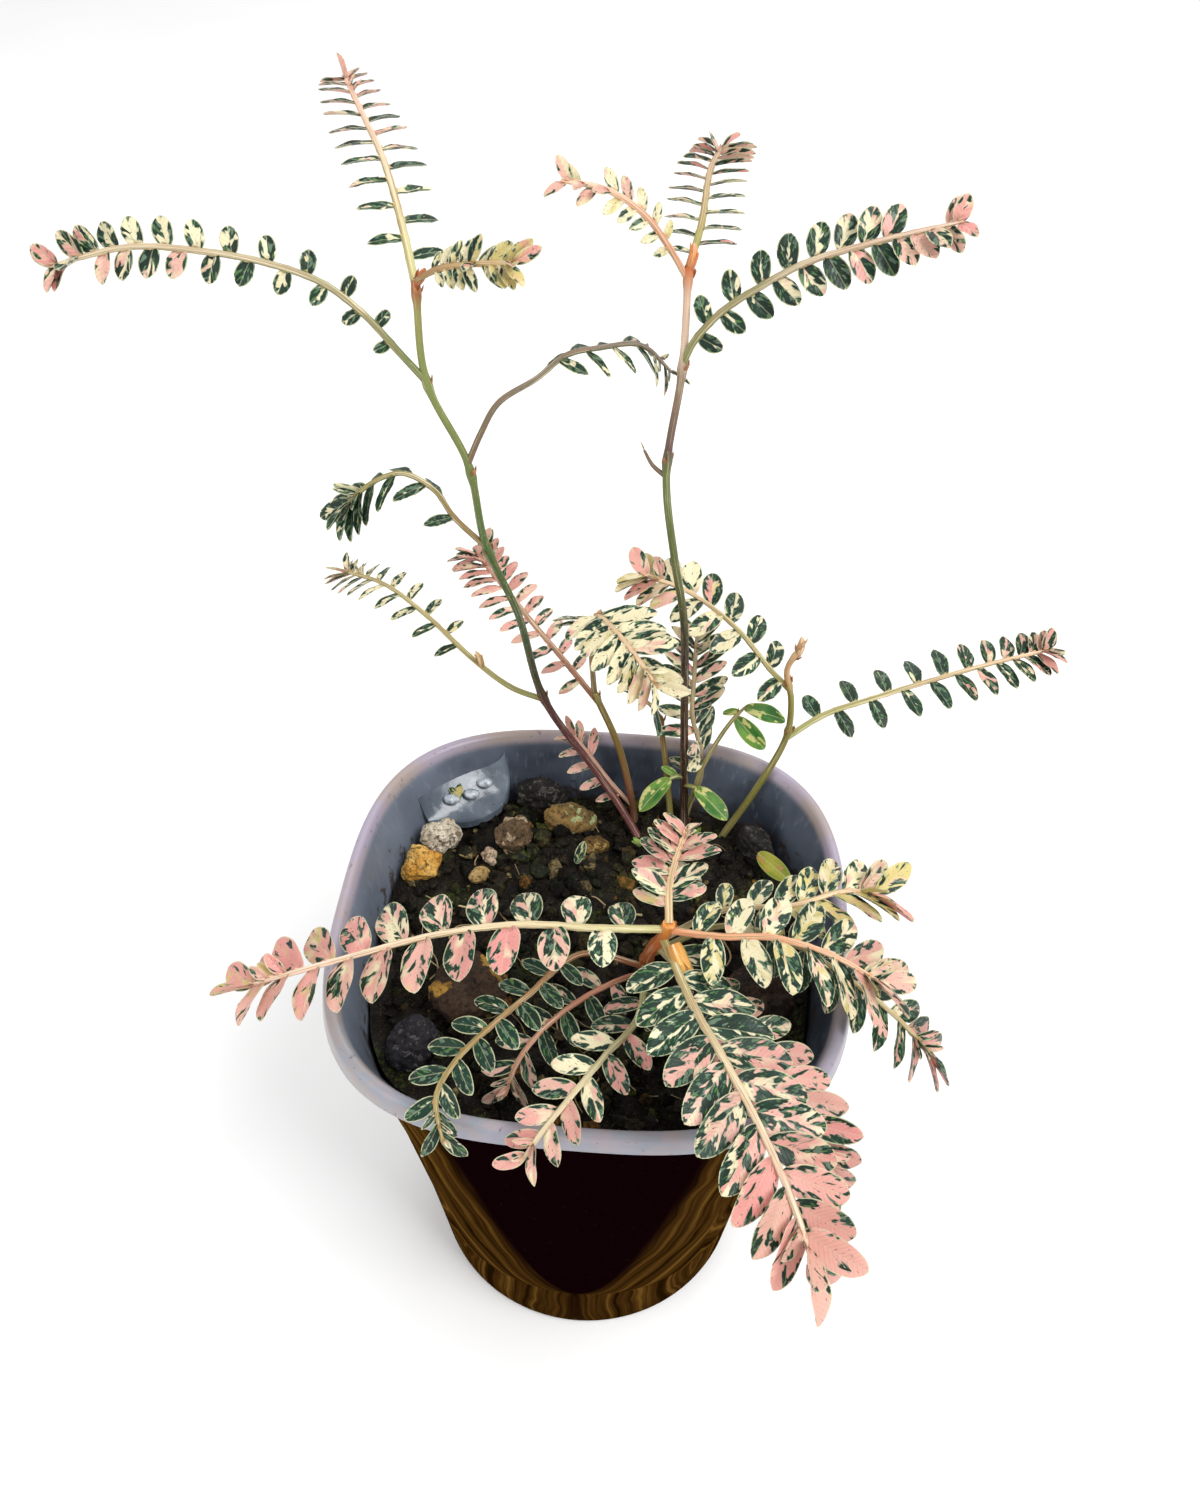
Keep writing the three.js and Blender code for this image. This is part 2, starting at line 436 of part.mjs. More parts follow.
function soilHeight(x, y) {
  const waves = 1.5 * Math.sin(x * 0.13 + 0.6) * Math.cos(y * 0.11 - 0.4)
    + 0.9 * Math.sin(x * 0.31 - y * 0.27 + 1.7) + 0.6 * Math.cos(x * 0.52 + y * 0.44);
  return SOIL_TOP + waves;
}

function stoneSolid([, middle, halfLengths, turnDegrees, , seed], extra) {
  const merged = mergePoints(new THREE.IcosahedronGeometry(1, 1));
  const turn = THREE.MathUtils.degToRad(turnDegrees);
  const positions = merged.positions.map((p, i) => {
    const dent = DENT_LEAST + DENT_SPREAD * random01(i, seed, 5);
    const x = p.x * (halfLengths[0] * dent + extra);
    const y = p.y * (halfLengths[1] * dent + extra);
    const z = p.z * (halfLengths[2] * dent + extra);
    return new THREE.Vector3(
      middle[0] + x * Math.cos(turn) - y * Math.sin(turn),
      middle[1] + x * Math.sin(turn) + y * Math.cos(turn),
      middle[2] + z);
  });
  return solidFrom(positions, merged.triangles);
}

function stemRadius(stem, station, extra) {
  const plain = stem.radius[0] + (stem.radius[1] - stem.radius[0]) * station;
  const nearest = Math.min(...stem.joints.map((joint) => Math.abs(joint - station)));
  return plain + JOINT_SWELL * Math.max(0, 1 - nearest / JOINT_REACH) + extra;
}

function stemStations(stem, trace) {
  const stations = evenStations(Math.round(trace.total / STEM_STEP));
  for (const joint of stem.joints) stations.push(joint - JOINT_REACH, joint, joint + JOINT_REACH);
  const sorted = stations.filter((s) => s >= 0 && s <= 1).sort((a, b) => a - b);
  return sorted.filter((s, i) => i === 0 || s - sorted[i - 1] > STATION_LEAST);
}

function stemSolid(stem, extra) {
  const trace = stem.trace;
  let solid = rodSolid(trace, 0, trace.total, stemStations(stem, trace), STEM_SIDES,
    (s) => stemRadius(stem, s, extra));
  if (stem.twig) {
    const twig = tracePath(stem.twig);
    solid = solid.add(rodSolid(twig, 0, twig.total, evenStations(TWIG_STATIONS), STEM_SIDES,
      (s) => TWIG_RADIUS[0] + (TWIG_RADIUS[1] - TWIG_RADIUS[0]) * s + extra));
  }
  return solid;
}

function halfWidthAt(part, width, small) {
  const rows = [[0, 0], ...(small ? SMALL_OUTLINE : OUTLINE), [1, 0]];
  let i = 1;
  while (i < rows.length - 1 && rows[i][0] < part) i += 1;
  const share = (part - rows[i - 1][0]) / (rows[i][0] - rows[i - 1][0]);
  return width * (rows[i - 1][1] + (rows[i][1] - rows[i - 1][1]) * share);
}

// The way the flat of a frond faces, square to its rib.
function faceAt(frond, rib, u) {
  const [near, far] = frond.face;
  const up = new THREE.Vector3(near[0] + (far[0] - near[0]) * u,
    near[1] + (far[1] - near[1]) * u, 1);
  return up.addScaledVector(rib, -up.dot(rib)).normalize();
}

// A blade's slight arch along its length.
function archAt(part, length) {
  return ARCH * length * 4 * part * (1 - part);
}

// One leaflet: where it joins the rib, its own axes, its length and its width.
function leafletAt(frond, frondNumber, i, bend) {
  const u = i / (frond.count - 1);
  const spread = 1 - (1 - u) ** frond.crowd;
  const part = Math.min(frond.bare + (1 - frond.bare) * spread, TIP_PART);
  const distance = part * frond.trace.total;
  const root = pointAt(frond.trace, distance);
  const rib = directionAt(frond.trace, distance);
  const up = faceAt(frond, rib, u);
  const beside = up.clone().cross(rib);
  const side = frond.first * (i % 2 === 0 ? 1 : -1);
  let lean = frond.sweep[0] + (frond.sweep[1] - frond.sweep[0]) * u ** SWEEP_POWER
    + LEAN_RANDOM * (random01(i, frondNumber, 0) - 0.5) + bend[1];
  if (i === frond.count - 1) lean *= TIP_STRAIGHTEN;
  const hang = THREE.MathUtils.degToRad(
    frond.hang + HANG_RANDOM * (random01(i, frondNumber, 3) - 0.5) + bend[0]);
  const leanAngle = THREE.MathUtils.degToRad(lean);
  const flat = rib.clone().multiplyScalar(Math.cos(leanAngle))
    .addScaledVector(beside, side * Math.sin(leanAngle));
  let across = up.clone().cross(flat);
  const along = flat.clone().multiplyScalar(Math.cos(hang)).addScaledVector(up, -Math.sin(hang));
  let normal = along.clone().cross(across);
  const turn = THREE.MathUtils.degToRad((frond.turn + TURN_GAIN * u) * side);
  const turnedAcross = across.clone().multiplyScalar(Math.cos(turn))
    .addScaledVector(normal, Math.sin(turn));
  normal = normal.clone().multiplyScalar(Math.cos(turn)).addScaledVector(across, -Math.sin(turn));
  across = turnedAcross;
  const [l0, l1, l2] = frond.leaf;
  const length = l0 * (1 - u) * (1 - 2 * u) + l1 * 4 * u * (1 - u) + l2 * u * (2 * u - 1);
  return { root, along, across, normal, length, width: length * frond.ratio,
    small: length < SMALL_LEAF, part, side };
}

function testPoints(leaf) {
  const points = [];
  for (const a of TEST_ALONG) {
    const half = halfWidthAt(a, leaf.width, leaf.small);
    for (const b of TEST_ACROSS) {
      points.push(leaf.root.clone().addScaledVector(leaf.along, a * leaf.length)
        .addScaledVector(leaf.across, b * half)
        .addScaledVector(leaf.normal, archAt(a, leaf.length)));
    }
  }
  return points;
}

function pointsNearLeaf(points, leaf, clear) {
  for (const point of points) {
    const offset = point.clone().sub(leaf.root);
    const a = offset.dot(leaf.along);
    if (a < -LEAF_MARGIN || a > leaf.length + LEAF_MARGIN) continue;
    const b = Math.abs(offset.dot(leaf.across));
    const part = Math.min(Math.max(a / leaf.length, 0), 1);
    if (b > halfWidthAt(part, leaf.width, leaf.small) + LEAF_MARGIN) continue;
    if (Math.abs(offset.dot(leaf.normal) - archAt(part, leaf.length)) < clear) return true;
  }
  return false;
}

// The half width of the rounded square through a point.
function reachOf(point) {
  return (Math.abs(point.x) ** 3 + Math.abs(point.y) ** 3) ** (1 / 3);
}

// Whether a point is inside or too near the pot's wall, the soil or a stone.
function meetsPot(point) {
  if (point.z > POT_HEIGHT + ABOVE_RIM) return false;
  const reach = reachOf(point);
  if (reach > WALL_BAND[0] && reach < WALL_BAND[1]) return true;
  if (reach > WALL_BAND[1]) return false;
  if (point.z < SOIL_TOP + ABOVE_SOIL) return true;
  return STONES.some(([, middle, half]) => {
    const shares = point.toArray().map((value, axis) => (value - middle[axis])
      / (half[axis] * STONE_GROWTH + ROUND_STONE[axis]));
    return Math.hypot(...shares) < 1;
  });
}

function leafIsClear(leaf, frondNumber, placed, rods) {
  const points = testPoints(leaf);
  if (points.some(meetsPot)) return false;
  for (const rod of rods) {
    if (rod.frond === frondNumber) continue;
    for (const spot of rod.spots) {
      if (spot.middle.distanceTo(leaf.root) > leaf.length + NEAR_ROD) continue;
      const near = spot.radius + RIB_CLEAR;
      if (points.some((point) => point.distanceToSquared(spot.middle) < near * near)) return false;
    }
  }
  for (const other of placed) {
    const reach = other.leaf.length + leaf.length + NEAR_LEAF;
    if (other.leaf.root.distanceTo(leaf.root) > reach) continue;
    const clear = other.frond === frondNumber ? SISTER_CLEAR : LEAF_CLEAR;
    if (pointsNearLeaf(points, other.leaf, clear)) return false;
    if (pointsNearLeaf(other.points, leaf, clear)) return false;
  }
  return true;
}

// Round spots along every stem and rib, for the test of what a leaflet would cross.
function rodSpots(trace, radii) {
  return evenStations(Math.ceil(trace.total / SPOT_STEP)).map((share) => ({
    middle: pointAt(trace, trace.total * share),
    radius: radii[0] + (radii[1] - radii[0]) * share,
  }));
}

function placeLeaflets() {
  const rods = [];
  STEMS.forEach((stem) => rods.push({ frond: -1, spots: rodSpots(stem.trace, stem.radius) }));
  FRONDS.forEach((frond, n) => rods.push({ frond: n, spots: rodSpots(frond.trace, frond.rib) }));
  const placed = [];
  FRONDS.forEach((frond, n) => {
    frond.leaflets = [];
    let reached = 0;
    for (let i = 0; i < frond.count; i += 1) {
      for (const bend of BENDS) {
        const leaf = leafletAt(frond, n, i, bend);
        if (leaf.part * frond.trace.total - reached < PITCH_LEAST) break;
        if (!leafIsClear(leaf, n, placed, rods)) continue;
        placed.push({ frond: n, leaf, points: testPoints(leaf) });
        frond.leaflets.push(leaf);
        reached = leaf.part * frond.trace.total;
        break;
      }
    }
  });
}

// One frond as a single closed skin: a three-sided rib whose lower faces open into the leaflets.
function frondSolid(frond, stems) {
  const total = frond.trace.total;
  const stations = [];
  for (const leaf of frond.leaflets) {
    const middle = leaf.part * total;
    stations.push({ from: middle - ROOT_HALF, to: middle + ROOT_HALF, leaf });
  }
  for (let i = 1; i < stations.length; i += 1) {
    const gap = stations[i].from - stations[i - 1].to;
    if (gap > SHARED_RING) continue;
    stations[i].from -= gap / 2;
    stations[i - 1].to = stations[i].from;
  }
  const rings = [];
  const leafAfterRing = new Map();
  const addRing = (distance) => rings.push(ribRing(frond, distance));
  const addPlain = (from, to) => {
    const count = Math.ceil((to - from) / RIB_STEP);
    for (let i = 1; i < count; i += 1) addRing(from + ((to - from) * i) / count);
  };
  addRing(0);
  let reached = 0;
  for (const station of stations) {
    addPlain(reached, station.from);
    if (station.from > reached) addRing(station.from);
    leafAfterRing.set(rings.length - 1, station.leaf);
    addRing(station.to);
    reached = station.to;
  }
  addPlain(reached, total);
  if (total - reached > LAST_RING_STEP) addRing(total);

  const positions = rings.flat();
  const triangles = [];
  for (let r = 0; r + 1 < rings.length; r += 1) {
    const leaf = leafAfterRing.get(r);
    const leafFace = leaf ? (leaf.side > 0 ? 0 : 1) : -1;
    for (let i = 0; i < 3; i += 1) {
      const a = r * 3 + i;
      const b = r * 3 + ((i + 1) % 3);
      if (i === leafFace) addLeaflet(leaf, [a, b, b + 3, a + 3], positions, triangles);
      else triangles.push([a, b, b + 3], [a, b + 3, a + 3]);
    }
  }
  const last = (rings.length - 1) * 3;
  triangles.push([2, 1, 0], [last, last + 1, last + 2]);
  let solid = solidFrom(positions, triangles);
  for (const stem of stems) solid = solid.subtract(stem.wide);
  const bodies = solid.decompose().sort((a, b) => b.volume() - a.volume());
  return bodies[0];
}

// Three corners of the rib: up left, below, up right, as parts of its radius.
const RIB_CORNERS = [[1, 0.6], [0, -1], [-1, 0.6]];

function ribRing(frond, distance) {
  const share = Math.min(Math.max(distance / frond.trace.total, 0), 1);
  const middle = pointAt(frond.trace, distance);
  const rib = directionAt(frond.trace, distance);
  const u = Math.max(0, (share - frond.bare) / (1 - frond.bare));
  const up = faceAt(frond, rib, u);
  const beside = up.clone().cross(rib);
  const radius = frond.rib[0] + (frond.rib[1] - frond.rib[0]) * share;
  return RIB_CORNERS.map(([across, above]) => middle.clone()
    .addScaledVector(beside, across * radius)
    .addScaledVector(up, above * radius));
}

// A leaflet grown out of the four corners of an open rib face.
function addLeaflet(leaf, corners, positions, triangles) {
  const rows = leaf.small ? SMALL_OUTLINE : OUTLINE;
  // Toward the stem is the positive side of a leaflet's width on the left of the rib.
  const nearSide = leaf.side > 0 ? 1 : -1;
  const spots = leaf.side > 0
    ? [[nearSide, 1], [nearSide, -1], [-nearSide, -1], [-nearSide, 1]]
    : [[nearSide, -1], [nearSide, 1], [-nearSide, 1], [-nearSide, -1]];
  const place = (a, b, lift) => leaf.root.clone().addScaledVector(leaf.along, a * leaf.length)
    .addScaledVector(leaf.across, b * leaf.width)
    .addScaledVector(leaf.normal, archAt(a, leaf.length) + (lift * BLADE) / 2);
  let loop = corners;
  for (const [a, b] of rows) {
    const next = spots.map(([side, lift]) => positions.push(place(a, side * b, lift)) - 1);
    for (let i = 0; i < 4; i += 1) {
      const j = (i + 1) % 4;
      triangles.push([loop[i], loop[j], next[j]], [loop[i], next[j], next[i]]);
    }
    loop = next;
  }
  const above = positions.push(place(1, 0, 1)) - 1;
  const below = positions.push(place(1, 0, -1)) - 1;
  for (let i = 0; i < 4; i += 1) {
    const j = (i + 1) % 4;
    const tipI = spots[i][1] > 0 ? above : below;
    const tipJ = spots[j][1] > 0 ? above : below;
    triangles.push([loop[i], loop[j], tipJ]);
    if (tipI !== tipJ) triangles.push([loop[i], tipJ, tipI]);
  }
}

function meshFrom(name, solid, colour, roughness) {
  const data = solid.getMesh();
  const geometry = new THREE.BufferGeometry();
  geometry.setAttribute("position",
    new THREE.BufferAttribute(new Float32Array(data.vertProperties), 3));
  geometry.setIndex(new THREE.BufferAttribute(new Uint32Array(data.triVerts), 1));
  geometry.computeVertexNormals();
  const material = new THREE.MeshStandardMaterial({ color: colour, roughness, metalness: 0 });
  const mesh = new THREE.Mesh(geometry, material);
  mesh.name = name;
  return mesh;
}

for (const stem of STEMS) stem.trace = tracePath(stem.path);
for (const frond of FRONDS) {
  const stem = STEMS.find((candidate) => candidate.name === frond.stem);
  frond.trace = tracePath([nearestOn(stem.trace, vec(frond.path[0])), ...frond.path.slice(1)]);
}
for (const stem of STEMS) stem.wide = stemSolid(stem, GAP);
placeLeaflets();

const group = new THREE.Group();
group.add(meshFrom("pot", buildPot(), 0x2b2a2c, 0.28));

const soilRings = SOIL_RINGS.map(
  (share) => squareRing(SOIL_EDGE[0] * share, 0, SOIL_EDGE[1], POT_SIDES)
    .map((p) => new THREE.Vector3(p.x, p.y, soilHeight(p.x, p.y))));
const soilSides = SOIL_WALL.map(
  ([half, height, squareness]) => squareRing(half, height, squareness, POT_SIDES));
let soil = solidFromRings([...soilRings, ...soilSides],
  new THREE.Vector3(0, 0, soilHeight(0, 0)), new THREE.Vector3(0, 0, FLOOR_TOP + GAP));
for (const stem of STEMS) soil = soil.subtract(stem.wide);
for (const stone of STONES) soil = soil.subtract(stoneSolid(stone, GAP));
group.add(meshFrom("soil", soil, 0x241c14, 0.95));

for (const stone of STONES) {
  group.add(meshFrom(stone[0], stoneSolid(stone, 0), stone[4], 0.85));
}
for (const stem of STEMS) group.add(meshFrom(stem.name, stemSolid(stem, 0), stem.colour, 0.6));
for (const frond of FRONDS) {
  group.add(meshFrom(frond.name, frondSolid(frond, STEMS), frond.colour, 0.55));
}

export default group;
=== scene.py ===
# Looks for the potted variegated chamber bitter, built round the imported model.
# Lengths are in millimetres until a mesh is made, which is in metres. +Z is up.
import math
from types import SimpleNamespace as Tones

import bmesh
import bpy
import numpy as np
from mathutils import Matrix, Vector, noise


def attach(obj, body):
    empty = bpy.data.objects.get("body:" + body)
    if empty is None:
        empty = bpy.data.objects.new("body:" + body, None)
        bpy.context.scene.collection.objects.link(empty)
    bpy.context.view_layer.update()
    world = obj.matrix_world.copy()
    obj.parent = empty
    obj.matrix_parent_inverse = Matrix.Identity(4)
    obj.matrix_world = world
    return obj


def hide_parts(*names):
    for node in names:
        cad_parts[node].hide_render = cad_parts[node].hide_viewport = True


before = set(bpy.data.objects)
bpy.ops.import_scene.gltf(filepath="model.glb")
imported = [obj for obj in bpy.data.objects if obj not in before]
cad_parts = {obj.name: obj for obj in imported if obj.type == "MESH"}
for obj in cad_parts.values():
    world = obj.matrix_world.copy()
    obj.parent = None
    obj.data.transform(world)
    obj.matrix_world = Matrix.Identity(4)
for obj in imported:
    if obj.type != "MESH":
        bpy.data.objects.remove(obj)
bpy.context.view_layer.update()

MM = 0.001

# Camera: where it looks from and at, its turn and the length of its lens.
CAMERA_RISE = 44.4
CAMERA_AZIMUTH = 3.4
CAMERA_ROLL = 1.18
CAMERA_DISTANCE = 275.5
CAMERA_TARGET = (0.96, 0, 180.8)
CAMERA_LENS = 32.06
CAMERA_SENSOR = 36

# Pot: each row of a profile is half width, height and corner squareness.
POT_HEIGHT = 130
FLOOR_TOP = 3.0
POT_OUTSIDE = [(41.6, 0, 2.0), (43.0, 1.4, 2.0), (46.6, 40, 2.15), (50.4, 80, 2.5),
               (54.0, 110, 2.85), (55.8, 120.5, 3.0)]
POT_RIM = [(56.2, 122.4, 3.02), (57.2, 123.7, 3.05), (58.9, 124.3, 3.06), (59.8, 124.7, 3.06),
           (60.0, 125.3, 3.06), (59.5, 128.8, 3.06), (59.2, 129.5, 3.06), (58.6, 129.95, 3.06),
           (58.0, POT_HEIGHT, 3.06), (57.4, 129.8, 3.06), (56.9, 129.2, 3.06), (55.6, 126, 3.06),
           (54.7, 123.2, 3.03)]
POT_INSIDE = [(54.1, 120.5, 3.0), (52.4, 110, 2.88), (48.8, 80, 2.5), (45.0, 40, 2.15),
              (41.4, FLOOR_TOP, 2.0)]
RIM_EDGE_ROWS = 11
POT_AROUND = 192
PROFILE_STEP = 8
SHELF_EDGE = [(-26.7, 51.0, 125.5), (-25.6, 48.0, 119), (-26.5, 43.6, 116.2),
              (-29.5, 39.6, 115.6), (-34.8, 36.4, 115.4), (-40.6, 35.4, 115.6),
              (-44.6, 34.6, 116.2)]
SHELF_RISE = 6.5
SHELF_THICK = 1.5
SHELF_WALL_REACH = 54.6
SHELF_BELOW_RIM = 3
SHELF_DIP = 1.6
SHELF_LIP = 0.7
SHELF_STEPS = (48, 12)
LUGS = [(-32.0, 46.6, 120.4), (-35.2, 43.2, 119.4), (-40.0, 40.6, 119.6)]
LUG_SIZE = (2.2, 1.5, 1.5)

# Soil
SOIL_TOP = 112
SOIL_EDGE = (51.7, 2.88)
SOIL_WALL = [(50.7, 100, 2.75), (48.2, 80, 2.5), (44.4, 40, 2.15), (40.9, FLOOR_TOP + 0.3, 2.0)]
SOIL_AROUND = 220
SOIL_RINGS = 70
SOIL_RING_POWER = 0.85
SOIL_LUMPS = 1.3
SOIL_GRIT = 0.5
CRUMB_COUNT = 1500
CRUMB_REACH = 50.5
CRUMB_SIZE = (0.45, 1.9, 2.2)
CRUMB_RISE = 0.35
CRUMB_PALE_SHARE = 0.11
CRUMB_TONES = [0x15110c, 0x1c1710, 0x241c12, 0x0f0e0a, 0x2e2414, 0x33321a, 0x4a3b22, 0x1e2414]
CRUMB_PALE = [0x7d6c48, 0x9a8a5c, 0x5c6428, 0x8a5f2c]
ROOT_COUNT = 26
ROOT_REACH = (44, 47)
ROOT_STEP = 3.2
ROOT_BEND = 1.2
ROOT_SIZE = (0.16, 0.2)
ROOT_TONES = [0x8d7a52, 0x6f6040, 0xa9986e]

# Stones: node, base tone, second tone, tone of its patches, size of the patches.
STONES = [
    ("stone_white", 0xdcd2be, 0xb3a48a, 0x5a4a36, 0.42),
    ("stone_yellow", 0xc98f3a, 0xe0b664, 0x7a4f1c, 0.34),
    ("stone_tan_back", 0x7a6248, 0x56442f, 0xb8a284, 0.34),
    ("stone_tan_clump", 0x8a6c3c, 0x6a5632, 0xa3ad7a, 0.26),
    ("stone_small_tan", 0xb99a64, 0x8f7440, 0x5e4a28, 0.45),
    ("stone_shell", 0xb39a80, 0xd0bda4, 0x7c6450, 0.45),
    ("stone_ochre", 0x7d6234, 0x5c4522, 0xa88a50, 0.35),
    ("stone_black_back", 0x1d1b19, 0x2b2926, 0x5a5650, 0.55),
    ("stone_black_right", 0x1b1a19, 0x282624, 0x4c4944, 0.55),
    ("stone_rock_right", 0x241d19, 0x3d2618, 0x57412e, 0.18),
    ("stone_rock_left", 0x4d3b2c, 0x3a2b20, 0xb98d3c, 0.10),
    ("stone_dark_left", 0x25242a, 0x302e33, 0x5f5c5c, 0.60),
]

# How finely a stone is smoothed, how much it grows again after that, and its roughness.
STONE_LEVELS = 4
STONE_SWELL = 1.07
STONE_BUMPS = 1.1
STONE_CHIPS = 0.35
STONE_SLOTS = {
    "pale_stone": {"stone_white"},
    "yellow_stone": {"stone_yellow", "stone_ochre"},
    "tan_stone": {"stone_tan_back", "stone_tan_clump", "stone_small_tan", "stone_shell"},
    "dark_stone": {"stone_black_back", "stone_black_right", "stone_rock_right", "stone_rock_left",
                   "stone_dark_left"},
}

# Stems: path from the root in the soil to the top, radius at root and top, places of the
# swollen joints as parts of the length, and tones at parts of the length.
STEMS = {
    "a": {"path": [(13, 33.5, 102), (9.8, 36.8, 112), (4, 42.9, 118.5), (-3, 46, 128.5),
                   (-16, 48, 150), (-22, 49, 176), (-29, 50, 195), (-32, 51, 215), (-40, 53, 233),
                   (-41, 55, 254)],
          "radius": (1.05, 0.75), "joints": [0.36, 0.62, 0.74, 0.87, 0.985],
          "tones": [(0, 0x4a3024), (0.08, 0x5e3030), (0.34, 0x64383e), (0.4, 0x3e4430),
                    (0.62, 0x3c5a2c), (0.9, 0x7f8a4c), (0.965, 0x9a9858), (0.985, 0xa0643c),
                    (1, 0xa55c36)]},
    "b": {"path": [(8.6, 43, 102), (7.7, 45.5, 112), (3, 51.4, 131), (-4, 54, 148)],
          "radius": (1.0, 0.85), "joints": [0.97],
          "tones": [(0, 0x5a3226), (0.35, 0x7a4634), (0.6, 0x7d6432), (1, 0x8a7a3e)]},
    "c": {"path": [(21.4, 38.5, 102), (21.1, 41.3, 112), (20.3, 44.5, 125), (19, 46.8, 147),
                   (17, 48, 178), (14, 49, 194), (11, 50, 216), (13, 52, 239), (13, 54, 260)],
          "radius": (1.1, 0.75), "joints": [0.08, 0.74, 0.87, 0.985],
          "tones": [(0, 0x4b2c22), (0.12, 0x3a201a), (0.42, 0x33261a), (0.55, 0x4e5a30),
                    (0.72, 0x5d6e38), (0.76, 0x5a4440), (0.86, 0x84705a), (0.9, 0xd2b8a2),
                    (0.965, 0xd4b49c), (0.988, 0xc08058), (1, 0xb8612f)],
          "twig": [(11, 50, 215), (8, 51, 217), (6, 52, 220)]},
    "d": {"path": [(28.5, 36.5, 102), (31, 40, 112), (34.6, 42.8, 118), (38.2, 45, 124.5),
                   (45, 50, 140), (45, 51, 152), (43, 52, 161), (45, 52, 167)],
          "radius": (1.05, 0.7), "joints": [0.64, 0.85, 0.97],
          "tones": [(0, 0x5c5a26), (0.3, 0x6f6e30), (0.62, 0x7a7434), (0.8, 0x86803e),
                    (0.9, 0xc49a70), (1, 0xd0ac84)]},
    "e": {"path": [(18.2, 36.5, 102), (17.8, 39.6, 112), (16.4, 45.4, 122), (13, 53, 142)],
          "radius": (0.9, 0.7), "joints": [0.97],
          "tones": [(0, 0x6c6a34), (0.5, 0x7a7438), (1, 0x84643c)]},
    "f": {"path": [(15, -9, 101), (14.7, -12, 112), (13, -17, 130), (14, -21, 142),
                   (16.4, -23, 150), (17.4, -23.6, 155)],
          "radius": (1.5, 1.35), "joints": [0.52, 0.66, 0.82, 0.96],
          "tones": [(0, 0x6a3c26), (0.4, 0x7d4426), (0.7, 0xa8592c), (0.9, 0xc8692c),
                    (1, 0xd88a3e)]},
}
JOINT_SWELL = 0.45
JOINT_REACH = 0.018
JOINT_SLIM = (0.6, 0.8)
JOINT_SCALES = 3
JOINT_SCALE_SIZE = (1.9, 1.1)
JOINT_SCALE_LEAN = 0.45
STEM_SIDES = 14
STEM_STATION = 1.6


def frond(name, stem, path, hang=8, turn=12, first=1, face=((0, 0), (0, 0)), **rest):
    return {"name": name, "stem": stem, "path": path, "hang": hang, "turn": turn,
            "first": first, "face": face, **rest}


